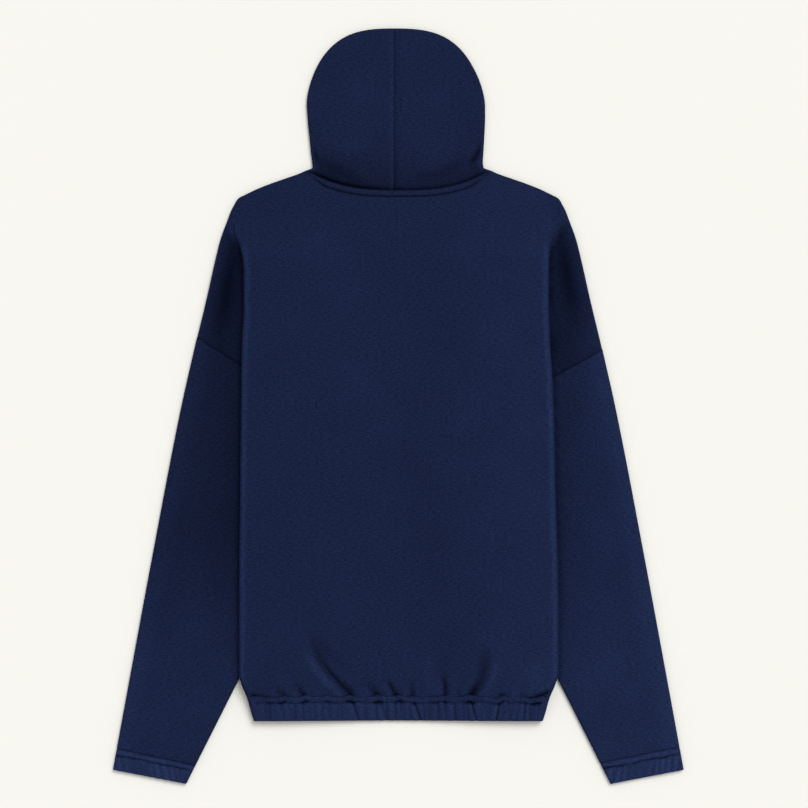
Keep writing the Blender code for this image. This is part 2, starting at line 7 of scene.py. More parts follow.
import bmesh
import bpy
import numpy as np
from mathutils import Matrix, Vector


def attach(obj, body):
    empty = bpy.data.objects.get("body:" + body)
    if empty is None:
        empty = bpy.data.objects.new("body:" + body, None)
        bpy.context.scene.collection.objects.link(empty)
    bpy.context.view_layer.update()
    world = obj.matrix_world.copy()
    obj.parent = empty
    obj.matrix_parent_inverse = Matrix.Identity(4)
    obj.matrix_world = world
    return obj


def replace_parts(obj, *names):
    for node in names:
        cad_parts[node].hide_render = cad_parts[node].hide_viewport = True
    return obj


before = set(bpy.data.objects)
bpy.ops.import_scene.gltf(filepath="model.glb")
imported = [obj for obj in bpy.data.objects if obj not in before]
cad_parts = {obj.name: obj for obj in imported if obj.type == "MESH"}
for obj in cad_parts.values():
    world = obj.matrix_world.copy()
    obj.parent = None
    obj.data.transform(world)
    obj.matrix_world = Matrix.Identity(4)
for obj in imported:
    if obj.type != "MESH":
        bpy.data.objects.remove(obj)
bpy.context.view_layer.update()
print("frame loaded")

mm = 0.001
sides = {"left": -1, "right": 1}

# how the cloth lies, the same sizes as the solids
cloth = {
    "thick": 2.4,
    "pair": 1.6,  # middle of a back-and-front pair to the middle of either layer
    "turn": 3.0,  # radius of the pair's middle where it turns under
    "gap": 0.3,  # between pieces at a seam
    "roll": 1.35,  # radius of a closed edge
}
tableTop = cloth["pair"] + cloth["thick"] / 2
edgeInset = cloth["roll"] + cloth["thick"] / 2
reach = cloth["turn"] + cloth["pair"] + cloth["thick"] / 2


def curveThrough(xs, ys):
    # a smooth curve through the points that never swings past them
    xs, ys = np.array(xs, float), np.array(ys, float)
    slopes = np.diff(ys) / np.diff(xs)
    tangents = np.concatenate([slopes[:1], np.zeros(len(xs) - 2), slopes[-1:]])
    for k in range(1, len(xs) - 1):
        a, b = slopes[k - 1], slopes[k]
        tangents[k] = 2 * a * b / (a + b) if a * b > 0 else 0.0

    def at(x):
        x = np.clip(x, xs[0], xs[-1])
        i = np.clip(np.searchsorted(xs, x, side="right") - 1, 0, len(xs) - 2)
        step = xs[i + 1] - xs[i]
        t = (x - xs[i]) / step
        return (
            (2 * t**3 - 3 * t**2 + 1) * ys[i]
            + (t**3 - 2 * t**2 + t) * tangents[i] * step
            + (3 * t**2 - 2 * t**3) * ys[i + 1]
            + (t**3 - t**2) * tangents[i + 1] * step
        )

    return at


def byHeight(*rows):
    # a column read by y from a table whose y falls from row to row
    found = curveThrough([-row[0] for row in rows], [row[1] for row in rows])
    return lambda y: found(-np.asarray(y, float))


def ease(t):
    t = np.clip(t, 0.0, 1.0)
    return t * t * (3 - 2 * t)


def bump(t):
    # 1 at 0, falling smoothly to 0 at 1 and beyond
    return 0.5 + 0.5 * np.cos(np.pi * np.minimum(1.0, np.abs(t)))


def near(distance, wide):
    # 1 on a line, falling off softly to both sides of it
    return np.exp(-((distance / wide) ** 2))


def seamDip(distance, depth, wide):
    return -depth * near(distance, wide)


# cloth never lies quite even: height, size of a swell, and the seed of its random draws
unevenness = {"body": (0.16, 70, 5), "sleeve": (0.14, 60, 11), "hood": (0.16, 55, 21)}


neckPoint = (109.5, 283)  # where the neck, the hood and the shoulder meet
neck = {
    "backY": 259.2,
    "backPower": 2.8,  # how square the back neckline is
    "frontY": 205,
    "frontEdge": 6.8,  # from the centre line to a front's edge at the zip
    "lift": 4.2,  # by the slider under the cloth
    "liftY": 197,
    "liftOut": 72,
    "liftLong": 70,
    "bandWide": 8.0,
    "narrowFrom": 84, "narrowOver": 22,
    "fadeFrom": 92, "fadeOver": 12,
    "bandEnd": 112, "bandLow": 240,
    "ridge": 1.6,
    # the line's and the seam's dark are painted shade
    "lineDeep": 1.2, "lineWide": 1.3, "lineDark": 0.6,
    "seamDark": 0.7, "seamWide": 2.0,
}
slack = {"lift": 5.6, "y": -38, "long": 190}  # the tucked cloth under the middle of the back
shoulderLine = curveThrough([109.5, 117.6, 134, 155, 172, 186], [283, 279.2, 273.4, 266, 259, 252])
armOuter = byHeight(
    (252, 186), (242, 196), (234, 200.6), (222, 205.2), (199, 213.6), (175, 219.6),
    (127, 230.4), (79, 242), (-5, 261), (-185, 295.8), (-324, 321.6), (-437, 342.4),
)


def slackAt(out, y):
    # middle of the pair near the centre line: lifted by the slider and by the tucked cloth beneath
    nearSlider = bump(np.hypot(out / neck["liftOut"], (y - neck["liftY"]) / neck["liftLong"]))
    return tableTop + neck["lift"] * nearSlider + slack["lift"] * bump((y - slack["y"]) / slack["long"])


# creases, one list per place: path (x, y points), height (minus for a trough), half width, and how far it
# takes to rise from its start and to fade at its end
def strokes(x, y, marks):
    total = np.zeros_like(x)
    for path, height, width, fades in marks:
        points = np.array(path, float)
        pad = width * 3.2
        (lowX, lowY), (highX, highY) = points.min(axis=0) - pad, points.max(axis=0) + pad
        close = (x > lowX) & (x < highX) & (y > lowY) & (y < highY)
        if not close.any():
            continue
        px, py = x[close], y[close]
        best, along, gone = np.full(px.shape, 1e9), np.zeros(px.shape), 0.0
        for (ax, ay), (bx, by) in zip(points, points[1:]):
            dx, dy = bx - ax, by - ay
            length = math.hypot(dx, dy)
            t = np.clip(((px - ax) * dx + (py - ay) * dy) / length**2, 0, 1)
            distance = np.hypot(px - ax - dx * t, py - ay - dy * t)
            closer = distance < best
            best = np.where(closer, distance, best)
            along = np.where(closer, gone + t * length, along)
            gone += length
        first, last = fades if isinstance(fades, tuple) else (fades, fades)
        ends = ease(along / first) * ease((gone - along) / last)
        total[close] += height * ends * near(best, width)
    return total


def softNoise(x, y, size, seed):
    # a smooth random field between about -1 and 1, the same each run
    draw = random.Random(seed)
    total = np.zeros_like(x)
    for _ in range(7):
        angle, phase = draw.uniform(0, math.pi), draw.uniform(0, 6.28)
        wave = 2 * math.pi / (size * draw.uniform(0.75, 1.6))
        total += np.sin((x * math.cos(angle) + y * math.sin(angle)) * wave + phase)
    return total / 3.2


def unevenLay(kind, x, y, shift=0):
    height, size, seed = unevenness[kind]
    return height * softNoise(x, y, size, seed + shift)


print("tables ready")
def tone(hexColour):
    # sRGB hex to linear
    parts = [int(hexColour[i : i + 2], 16) / 255 for i in (1, 3, 5)]
    return tuple(c / 12.92 if c <= 0.04045 else ((c + 0.055) / 1.055) ** 2.4 for c in parts) + (1.0,)


def node(tree, kind, links=None, **settings):
    # adds a node; links maps its inputs to sockets or values, and settings are its properties
    made = tree.nodes.new("ShaderNode" + kind)
    for key, value in settings.items():
        setattr(made, key, value)
    for key, value in (links or {}).items():
        if isinstance(value, bpy.types.NodeSocket):
            tree.links.new(value, made.inputs[key])
        else:
            made.inputs[key].default_value = value
    return made


def startMaterial(name):
    material = bpy.data.materials.new(name)
    material.use_nodes = True
    material.node_tree.nodes.clear()
    return material, material.node_tree


def finished(material, sockets):
    # the shader, with the value or the node that each of its sockets takes
    shader = node(material.node_tree, "BsdfPrincipled", sockets)
    node(material.node_tree, "OutputMaterial", {0: shader.outputs[0]})
    return material


fleeceLook = {
    "dark": "#121A31",
    "light": "#1F294B",
    "fringe": "#8FA4E6",
    "nap": 0.0017,  # metres; the brushed nap clumps at about two millimetres
    "loops": 0.0011,  # a knit row is 0.6 mm, drawn at 1.1 mm so that a pixel can show it
    "patches": 1 / 18,  # where it was handled, the nap lies a little lighter or darker
    "grain": 0.62,  # contrast
    "bump": 0.5,
}


def brushedFleece(name, look):
    # Cotton fleece, loop-knit and brushed: it scatters light, so it is matt, with a faint light fringe
    # where the nap is seen edge on, and a fine mottled grain that runs across the garment.
    material, tree = startMaterial(name)
    uv = node(tree, "UVMap", uv_map="cloth").outputs[0]
    stretched = node(tree, "Mapping", {"Vector": uv, "Scale": (0.55, 1.0, 1.0)})
    nap = node(tree, "TexNoise", {
        "Vector": stretched.outputs[0], "Scale": 1 / look["nap"], "Detail": 2.0, "Roughness": 0.65})
    alongRows = node(tree, "Mapping", {"Vector": uv, "Scale": (0.22, 1.0, 1.0)})
    rows = node(tree, "TexNoise", {
        "Vector": alongRows.outputs[0], "Scale": 1 / look["loops"], "Detail": 1.0, "Roughness": 0.5})
    patches = node(tree, "TexNoise", {
        "Vector": uv, "Scale": 1 / look["patches"], "Detail": 3.0, "Roughness": 0.6})
    mixed = node(tree, "Mix", {0: 0.45, 2: nap.outputs[0], 3: rows.outputs[0]}, data_type="FLOAT")
    shade = node(tree, "MapRange", {
        0: mixed.outputs[0], 1: 0.5 - look["grain"] / 4, 2: 0.5 + look["grain"] / 4, 3: 0.0, 4: 1.0})
    base = node(tree, "Mix", {
        0: shade.outputs[0], 6: tone(look["dark"]), 7: tone(look["light"])}, data_type="RGBA")
    cloud = node(tree, "MapRange", {0: patches.outputs[0], 1: 0.3, 2: 0.7, 3: 0.94, 4: 1.06})
    # the tone stored on each point, mostly painted light and shade, scales the colour
    litAndShaded = node(tree, "Attribute", attribute_name="paintedLightAndTone")
    gain = node(tree, "Math", {0: cloud.outputs[0], 1: litAndShaded.outputs[2]}, operation="MULTIPLY")
    colour = node(tree, "VectorMath", {0: base.outputs[2], "Scale": gain.outputs[0]}, operation="SCALE")
    relief = node(tree, "Bump", {"Strength": look["bump"], "Distance": 0.0006, "Height": mixed.outputs[0]})
    return finished(material, {
        "Base Color": colour.outputs[0], "Normal": relief.outputs[0], "Roughness": 0.95, "IOR": 1.45,
        "Specular IOR Level": 0.02, "Sheen Weight": 0.02, "Sheen Roughness": 0.4,
        "Sheen Tint": tone(look["fringe"])})


def polyesterThread(name):
    # Spun polyester sewing thread: a tight twist that catches a little more light than the fleece.
    material, tree = startMaterial(name)
    where = node(tree, "TexCoord").outputs["Object"]
    twist = node(tree, "TexNoise", {"Vector": where, "Scale": 1400.0, "Detail": 1.0})
    base = node(tree, "Mix", {0: twist.outputs[0], 6: tone("#0A0F22"), 7: tone("#121A38")}, data_type="RGBA")
    relief = node(tree, "Bump", {"Strength": 0.4, "Distance": 0.0002, "Height": twist.outputs[0]})
    return finished(material, {
        "Base Color": base.outputs[2], "Normal": relief.outputs[0], "Roughness": 0.6, "Sheen Weight": 0.05})


def wovenTape(name, ribWide=0.0005655):
    # Polyester tape in a tight twill: flat and a little smoother than the fleece, with fine slanted ribs.
    # A wave texture at scale 1 repeats every tenth of pi.
    material, tree = startMaterial(name)
    uv = node(tree, "UVMap", uv_map="cloth").outputs[0]
    slanted = node(tree, "Mapping", {"Vector": uv, "Rotation": (0, 0, math.radians(35))})
    ribs = node(tree, "TexWave", {
        "Vector": slanted.outputs[0], "Scale": math.pi / 10 / ribWide, "Distortion": 0.6, "Detail": 1.0})
    base = node(tree, "Mix", {0: ribs.outputs[1], 6: tone("#0B1029"), 7: tone("#18203F")}, data_type="RGBA")
    relief = node(tree, "Bump", {"Strength": 0.5, "Distance": 0.0003, "Height": ribs.outputs[1]})
    return finished(material, {"Base Color": base.outputs[2], "Normal": relief.outputs[0], "Roughness": 0.7})


def mouldedAcetal(name):
    # Acetal zip teeth, injection moulded: a low satin gloss with faint flow marks.
    material, tree = startMaterial(name)
    where = node(tree, "TexCoord").outputs["Object"]
    flow = node(tree, "TexNoise", {"Vector": where, "Scale": 420.0, "Detail": 2.0})
    base = node(tree, "Mix", {0: flow.outputs[0], 6: tone("#10162F"), 7: tone("#1A2242")}, data_type="RGBA")
    gloss = node(tree, "MapRange", {0: flow.outputs[0], 1: 0.3, 2: 0.7, 3: 0.32, 4: 0.5})
    return finished(material, {"Base Color": base.outputs[2], "Roughness": gloss.outputs[0], "IOR": 1.48})


def satinNickel(name):
    # Zinc die casting, tumbled and nickel plated: a soft grey gloss, with fine rubbed scratches.
    material, tree = startMaterial(name)
    where = node(tree, "TexCoord").outputs["Object"]
    drawn = node(tree, "Mapping", {"Vector": where, "Scale": (1.0, 0.08, 1.0)})
    rubbed = node(tree, "TexNoise", {"Vector": drawn.outputs[0], "Scale": 2600.0, "Detail": 2.0})
    dulled = node(tree, "TexNoise", {"Vector": where, "Scale": 260.0, "Detail": 2.0})
    base = node(tree, "Mix", {0: dulled.outputs[0], 6: tone("#A9A7A2"), 7: tone("#C9C7C1")}, data_type="RGBA")
    gloss = node(tree, "MapRange", {0: rubbed.outputs[0], 1: 0.3, 2: 0.7, 3: 0.26, 4: 0.42})
    relief = node(tree, "Bump", {"Strength": 0.15, "Distance": 0.0001, "Height": rubbed.outputs[0]})
    return finished(material, {
        "Base Color": base.outputs[2], "Roughness": gloss.outputs[0], "Normal": relief.outputs[0],
        "Metallic": 1.0})


fleece = brushedFleece("brushed cotton fleece", fleeceLook)
thread = polyesterThread("polyester thread")
tapeCloth = wovenTape("woven zip tape")
teethPlastic = mouldedAcetal("moulded acetal")
nickel = satinNickel("satin nickel plate")
print("materials ready")
pieces = {}  # by name


def clothLengths(grid):
    # u and v in metres, measured along the cloth itself so that the grain never stretches
    across = np.linalg.norm(np.diff(grid, axis=1), axis=2)
    u = np.concatenate([np.zeros((len(grid), 1)), np.cumsum(across, axis=1)], axis=1)
    down = np.linalg.norm(np.diff(grid, axis=0), axis=2)
    v = np.concatenate([np.zeros((1, grid.shape[1])), np.cumsum(down, axis=0)], axis=0)
    return u * mm, -v * mm


def keepPiece(name, mesh, material, rideOn):
    mesh.materials.append(material)
    piece = bpy.data.objects.new(name, mesh)
    bpy.context.scene.collection.objects.link(piece)
    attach(piece, rideOn)
    pieces[name] = piece
    return piece


def roundEdges(piece, wide, segments, angle=30):
    worn = piece.modifiers.new("worn edge", "BEVEL")
    worn.width = wide * mm
    worn.segments = segments
    worn.limit_method = "ANGLE"
    worn.angle_limit = math.radians(angle)


fleeceEdge = {"wide": 0.55, "segments": 2, "angle": 58}  # a cut or folded edge of fleece is never sharp


def clothPiece(name, patches, material=fleece, thick=cloth["thick"]):
    # patches: dicts of points (rows, columns, 3) in mm, with uv and tone for each point; the tone is mostly
    # painted light and shade
    points, uvs, tones, faces, count = [], [], [], [], 0
    for patch in patches:
        grid = patch["points"]
        rows, cols = grid.shape[:2]
        u, v = patch.get("uv") or clothLengths(grid)
        points.append(grid.reshape(-1, 3))
        uvs.append(np.stack([u, v], axis=-1).reshape(-1, 2))
        tones.append(np.broadcast_to(patch.get("tone", 1.0), (rows, cols)).reshape(-1))
        index = np.arange(rows * cols).reshape(rows, cols) + count
        quads = np.stack([index[:-1, :-1], index[:-1, 1:], index[1:, 1:], index[1:, :-1]], axis=-1)
        faces.append(quads.reshape(-1, 4))
        count += rows * cols
    points, uvs, tones, faces = (np.concatenate(part) for part in (points, uvs, tones, faces))
    mesh = bpy.data.meshes.new(name)
    mesh.from_pydata((points * mm).tolist(), [], faces.tolist())
    layer = mesh.uv_layers.new(name="cloth")
    layer.data.foreach_set("uv", uvs[faces.reshape(-1)].astype(np.float32).reshape(-1))
    shade = mesh.attributes.new("paintedLightAndTone", "FLOAT", "POINT")
    shade.data.foreach_set("value", tones.astype(np.float32))
    work = bmesh.new()
    work.from_mesh(mesh)
    bmesh.ops.remove_doubles(work, verts=work.verts, dist=0.02 * mm)
    bmesh.ops.dissolve_degenerate(work, edges=work.edges, dist=0.01 * mm)
    bmesh.ops.recalc_face_normals(work, faces=work.faces)
    work.to_mesh(mesh)
    work.free()
    mesh.shade_smooth()
    piece = keepPiece(name, mesh, material, "garment")
    wall = piece.modifiers.new("wall", "SOLIDIFY")
    wall.thickness = thick * mm
    wall.offset = 0
    roundEdges(piece, **fleeceEdge)
    return piece
def rolledEdge(boundary, outward, lift):
    # rows that carry an open edge through a quarter round towards the other layer
    rows = [boundary]
    steps = [math.pi / 2 * k / 4 for k in range(1, 5)]
    profile = [(cloth["roll"] * math.sin(a), cloth["roll"] * (1 - math.cos(a))) for a in steps]
    profile.append((cloth["roll"], cloth["pair"] - cloth["gap"] / 2))
    for away, over in profile:
        rows.append(boundary + outward * away + np.array([0, 0, lift * over]))
    return np.array(rows)


def outwardOf(edge):
    # the level direction away from the cloth, for an edge that runs from the neck down the arm
    along = np.gradient(edge, axis=0)
    away = np.stack([-along[:, 1], along[:, 0], np.zeros(len(along))], axis=1)
    return away / np.maximum(np.linalg.norm(away, axis=1, keepdims=True), 1e-9)


def placed(side, grid, lean=0.0):
    return grid * np.array([sides[side], 1, 1]) + np.array([1, 0, 0]) * np.asarray(lean)[..., None]


# y, the fold's outermost point on each side, degrees turned, and how far the tucked cloth runs back
pleatRows = (
    (252, 181.7, 181.7, 0, 0), (241, 190, 189.5, 0, 0), (231, 196, 194, 0, 0), (220, 200.5, 194.5, 28, 0.2),
    (207, 198, 188.5, 62, 0.5), (192, 190.3, 182, 104, 1), (176, 186.2, 180.4, 158, 6),
    (158, 185, 180, 174, 17), (135, 185, 180, 178, 31), (110, 185, 180.5, 180, 46),
    (74, 187, 182, 180, 66), (38, 188, 184.5, 180, 87),
    (-35, 188.7, 187, 180, 128), (-47, 189, 187.2, 180, 128), (-110, 189.6, 188.4, 180, 102),
    (-190, 190.6, 190.8, 180, 69), (-260, 190.8, 191.8, 180, 40), (-318, 190.8, 191.8, 180, 17),
    (-331, 188.5, 188.5, 180, 12), (-347, 182, 182, 180, 8),
)
startRow, seamRow, underarmRow, sideRow, hemRow = 7, 10, 12, 13, 16
pleat = {
    key: curveThrough(range(len(pleatRows)), [row[i] for row in pleatRows])
    for i, key in enumerate(("y", "left", "right", "turn", "tuck"))
}
tuckHeight = byHeight((-35, 8.7), (-331, 8.7), (-347, 6.6), (-362, 3.9), (-377, tableTop))
armhole = {
    "left": {"outerY": 81.6, "inOut": 47, "inY": -40},
    "right": {"outerY": 66.7, "inOut": 46, "inY": -42},
}
body = {
    "columns": 74, "turnSteps": 8, "tuckSteps": 10, "armSteps": 12,
    "rowGap": 3.4,
    "hemRowGap": 2.0,
    "neckRowGap": 0.85,
    "neckRowTall": 13.5,  # a row above startRow counts as at least this tall
}
bodyColumns = body["columns"] + 1
darkest = 0.08  # tone in the deepest creases


def seamOut(side, y):
    a = armhole[side]
    outer = float(armOuter(a["outerY"]))
    return a["inOut"] + (outer - a["inOut"]) * (y - a["inY"]) / (a["outerY"] - a["inY"])


def belowShoulder(t):
    # both necklines drop under the shoulder's rolled edge at the neck point
    return edgeInset * ease((t - 0.97) / 0.03)


def backNeck(t):
    out, y = neckPoint
    return out * t, neck["backY"] + (y - neck["backY"]) * t ** neck["backPower"] - belowShoulder(t)


def frontNeck(t):
    out, y = neckPoint
    angle = t * math.pi / 2
    start = neck["frontEdge"]
    level = y - (y - neck["frontY"]) * np.cos(angle)
    return start + (out - start) * np.sin(angle), level - belowShoulder(t)


def rowList(first, last):
    # row numbers between two rows of the pleat table, close enough for the creases
    found = [float(first)]
    for row in range(first, last):
        tall = max(pleatRows[row][0] - pleatRows[row + 1][0], body["neckRowTall"] if row < startRow else 0)
        gap = body["hemRowGap"] if row >= hemRow else body["neckRowGap"] if row == 0 else body["rowGap"]
        steps = max(2, math.ceil(tall / gap))
        found += [row + k / steps for k in range(1, steps + 1)]
    if last == len(pleatRows) - 1:
        found = sorted(set(found) | {last - 0.1, last - 0.06, last - 0.03})  # beside the hem's seam
    return found


cornerOut = pleatRows[0][1] - reach
neckShare = neckPoint[0] / cornerOut


def bodyRow(side, front, r, withArm):
    # one row of a layer, from the centre out: over the top, round the fold, back beneath and out to the arm
    layer = -cloth["pair"] if front else cloth["pair"]
    pleatY, edge, tuck = float(pleat["y"](r)), float(pleat[side](r)), float(pleat["tuck"](r))
    turn = math.radians(float(pleat["turn"](r)))
    if withArm:
        high = tableTop + 2 * cloth["turn"] * (1 - math.cos(turn)) + tuck * math.sin(turn)
    else:
        high = float(tuckHeight(pleatY)) + 2 * cloth["turn"]
    centre = edge - reach
    shift = armhole[side]["outerY"] + cloth["gap"] / 2 - pleatRows[seamRow][0]
    farY = pleatY + shift * max(0.0, 1 - abs(r - seamRow) / 3)
    s = np.linspace(0, 1, body["columns"] + 1)
    t = np.minimum(1.0, s / neckShare)
    past = np.clip((s - neckShare) / (1 - neckShare), 0, 1)
    topOut, topY = frontNeck(t) if front else backNeck(t)
    topOut = np.where(past > 0, neckPoint[0] + (cornerOut - neckPoint[0]) * past, topOut)
    topY = np.where(past > 0, shoulderLine(topOut) - edgeInset, topY)
    start = neck["frontEdge"] if front else 0.0
    levelOut = start + (centre - start) * s
    blend = min(1.0, r / startRow)
    out = topOut + (levelOut - topOut) * blend
    y = topY + ((pleatY if r > startRow else pleatRows[startRow][0]) - topY) * blend
    y = y + (farY - pleatY) * np.minimum(1.0, out / centre)
    if r < startRow:
        y = y + (farY - y) * past * min(1.0, r)
    inner = max(1.0, centre - (tuck + reach + 2) * min(1.0, r))
    low = slackAt(out, y)
    rise = np.where(out < inner, 1.0 - bump(out / inner), 1.0)
    height = low + (high - low) * rise * min(1.0, max(0.0, r - 2))
    points = [np.stack([out, y, height + layer], axis=1)]
    angle = turn * np.arange(1, body["turnSteps"] + 1) / body["turnSteps"]
    runs = [(centre + cloth["turn"] * np.sin(angle), high - cloth["turn"] * (1 - np.cos(angle)), angle)]
    lastOut, lastHigh = runs[0][0][-1], runs[0][1][-1]
    share = np.arange(1, body["tuckSteps"] + 1) / body["tuckSteps"]
    runs.append((
        lastOut + tuck * math.cos(turn) * share, lastHigh - tuck * math.sin(turn) * share,
        np.full(len(share), turn)))
    if withArm:
        lastOut, lastHigh = runs[1][0][-1], runs[1][1][-1]
        back = turn - angle
        runs.append((
            lastOut + cloth["turn"] * (math.sin(turn) - np.sin(back)),
            lastHigh - cloth["turn"] * (np.cos(back) - math.cos(turn)), back))
        end = float(armOuter(farY)) - edgeInset * 1.03  # just inside the sleeve's edge
        if r > seamRow:
            end = min(end, seamOut(side, farY) - cloth["gap"] / 2)
        lastOut = runs[2][0][-1]
        share = 1 - (1 - np.arange(1, body["armSteps"] + 1) / body["armSteps"]) ** 1.5
        runs.append((lastOut + (end - lastOut) * share, np.full(len(share), tableTop), np.zeros(len(share))))
    for outs, heights, angles in runs:
        ys = np.full(len(outs), farY)
        if r < 1:
            ys = ys * r + (shoulderLine(outs) - edgeInset) * (1 - r)
        points.append(np.stack([outs + layer * np.sin(angles), ys, heights + layer * np.cos(angles)], axis=1))
    return np.concatenate(points)


# x, y paths in mm; the creases that the hem's elastic draws up into the back
backCreases = [
    ([(-114, -258), (-103, -284), (-95, -304), (-79, -325), (-56, -346), (-52, -352)], -3.0, 4.4, (50, 3)),
    ([(-118, -288), (-106, -308), (-89, -329), (-68, -349)], 2.6, 5.0, (36, 4)),
    ([(-88, -296), (-72, -318), (-50, -340)], 1.6, 5.0, (26, 12)),
    ([(-36, -331), (-29, -340), (-20, -351)], -2.6, 2.4, (12, 2)),
    ([(-44, -335), (-36, -343), (-28, -352)], 1.8, 3.0, (10, 2)),
    ([(-13, -326), (-8, -337), (1, -351)], -2.7, 2.5, (14, 2)),
    ([(-21, -332), (-14, -342), (-8, -352)], 1.7, 3.0, (11, 2)),
    ([(12, -336), (16, -343), (22, -351)], -1.9, 2.2, (8, 2)),
    ([(5, -338), (9, -345), (14, -352)], 1.2, 2.6, (8, 2)),
    ([(54, -316), (56, -332), (56, -351)], -2.7, 3.0, (18, 2)),
    ([(47, -326), (49, -340), (49, -352)], 1.7, 3.6, (14, 2)),
    ([(102, -288), (105, -308), (99, -330), (86, -351)], -3.0, 4.8, (34, 4)),
    ([(112, -296), (115, -314), (109, -332), (99, -351)], 2.2, 5.0, (26, 4)),
    ([(91, -310), (90, -326), (79, -350)], 1.4, 4.6, (20, 4)),
    ([(118, -340), (123, -346), (128, -352)], -2.0, 2.3, (6, 2)),
    ([(144, -352), (160, -348), (174, -343.5), (184, -341)], -3.0, 2.6, (10, 3)),
    ([(146, -344), (162, -340), (176, -335.5), (183, -333)], 1.8, 3.4, (12, 4)),
    ([(-148, -332), (-140, -341), (-130, -351)], -2.1, 2.4, (10, 2)),
    ([(-156, -338), (-148, -345), (-140, -352)], 1.4, 3.0, (8, 2)),
    ([(-122, -330), (-117, -340), (-110, -351)], -2.2, 2.4, (11, 2)),
    ([(-129, -338), (-124, -345), (-118, -352)], 1.4, 2.8, (8, 2)),
    ([(-180, -344.5), (-168, -346), (-152, -350)], -2.3, 2.2, (6, 3)),
    ([(32, -296), (35, -326), (36, -350)], 1.3, 6.5, (24, 3)),
    ([(-152, -296), (-144, -322), (-138, -348)], 0.9, 7.0, (24, 3)),
    ([(70, -334), (72, -343), (74, -352)], -1.2, 2.4, (9, 2)),
    ([(140, -328), (138, -340), (136, -351)], 1.2, 4.0, (12, 2)),
]
# painted shade and highlight beside those creases, where they throw shadow or catch the light: path, change
# of tone, half width, fades
backPaintedShading = [
    ([(-104, -262), (-86, -292), (-66, -320), (-50, -344)], -0.2, 8.5, (30, 10)),
    ([(-114, -290), (-99, -314), (-79, -340)], 0.12, 5, (16, 8)),
    ([(-96, -303), (-75, -326), (-53, -350)], -0.5, 1.7, (16, 1)),
    ([(-148, -339), (-140, -344), (-131, -349)], -0.5, 1.6, (4, 1)),
    ([(-122, -326), (-115, -342)], -0.16, 6, (8, 6)),
    ([(-121, -339), (-110, -348)], -0.5, 1.7, (4, 1)),
    ([(-42, -322), (-33, -340)], -0.18, 6, (8, 6)),
    ([(-37, -337), (-30, -344), (-23, -350)], -0.55, 2.1, (4, 1)),
    ([(-14, -326), (-9, -337), (-3, -349)], -0.6, 1.7, (7, 1)),
    ([(16, -322), (18, -349)], -0.32, 3.0, (14, 1)),
    ([(58, -292), (54, -330)], -0.12, 9, (20, 10)),
    ([(54, -318), (57, -349)], -0.42, 2.8, (14, 1)),
    ([(104, -276), (103, -300), (97, -322), (87, -349)], -0.24, 6.5, (30, 1)),
    ([(93, -330), (87, -349)], -0.4, 4.2, (9, 1)),
    ([(119, -344), (132, -349)], -0.5, 1.9, (4, 1)),
    ([(157, -349.5), (170, -346.5), (183, -341.5)], -0.75, 1.9, (6, 1)),
    ([(158, -296), (170, -334)], 0.14, 11, (20, 8)),
    ([(-180, -344.5), (-158, -349)], -0.45, 1.4, (4, 1)),
    ([(-150, -300), (-140, -330)], -0.06, 12, (20, 12)),
]
# long low swells left by folding and lying, too soft to make a line
bodySwells = [
    ([(-60, 210), (-70, 120), (-52, 20), (-60, -90)], 0.5, 26, 60),
    ([(70, 190), (84, 90), (66, -20), (72, -130)], 0.5, 28, 60),
    ([(-130, 150), (-120, 40), (-132, -70)], 0.4, 22, 60),
    ([(140, 120), (128, 0), (138, -140)], 0.4, 22, 60),
]
frontCreases = [
    ([(-100, -290), (-84, -318), (-66, -346)], 0.5, 5.0, 20),
    ([(96, -300), (80, -322), (66, -346)], 0.5, 5.0, 20),
    ([(-28, -322), (-24, -346)], 0.4, 4.0, 10),
    ([(30, -318), (24, -346)], 0.4, 4.0, 10),
    ([(-140, -330), (-128, -347)], 0.4, 3.5, 8),
    ([(142, -328), (130, -347)], 0.4, 3.5, 8),
]
# one soft trough runs down the upper arm from the shoulder corner
armTroughs = [
    ([(203, 205), (207, 150), (209, 100)], -0.5, 7, 30),
    ([(216, 205), (222, 150), (228, 105)], 0.35, 8, 30),
]


def neckDistance(x, y, neckline):
    # how far a point is below the neckline, along the normal, good near the line
    t = np.linspace(0, 1, 160)
    lineOut, lineY = neckline(t)
    out = np.abs(x)
    at = np.interp(out, lineOut, lineY)
    slope = np.interp(out, lineOut, np.gradient(lineY, lineOut))
    return np.where(out < neckPoint[0] + 2, (at - y) / np.sqrt(1 + slope**2), 99.0)


def neckBand(x):
    # width of the taped band under the neck seam, narrower at the neck points
    return neck["bandWide"] * (1 - 0.5 * ease((np.abs(x) - neck["narrowFrom"]) / neck["narrowOver"]))


def bandRelief(x, y):
    # the band is a ridge above its line of stitches; the line and the seam are darkened with painted shade
    down, band = neckDistance(x, y, backNeck), neckBand(x)
    onBand = (y > neck["bandLow"]) * (np.abs(x) < neck["bandEnd"])
    fade = 1 - ease((np.abs(x) - neck["fadeFrom"]) / neck["fadeOver"])
    ridge = neck["ridge"] * ease((down - 0.8) / 2.4) * (1 - ease((down - band + 1.7) / 1.7))
    dark = neck["lineDark"] * fade * near(down - band, neck["lineWide"])
    dark += neck["seamDark"] * near(down, neck["seamWide"])
    return (ridge + seamDip(down - band, neck["lineDeep"] * fade, neck["lineWide"])) * onBand, dark * onBand


def seamDistance(side, x, y):
    a = armhole[side]
    outer = float(armOuter(a["outerY"]))
    dx, dy = outer - a["inOut"], a["outerY"] - a["inY"]
    return np.abs(dx * (y - a["inY"]) - dy * (np.abs(x) - a["inOut"])) / math.hypot(dx, dy)


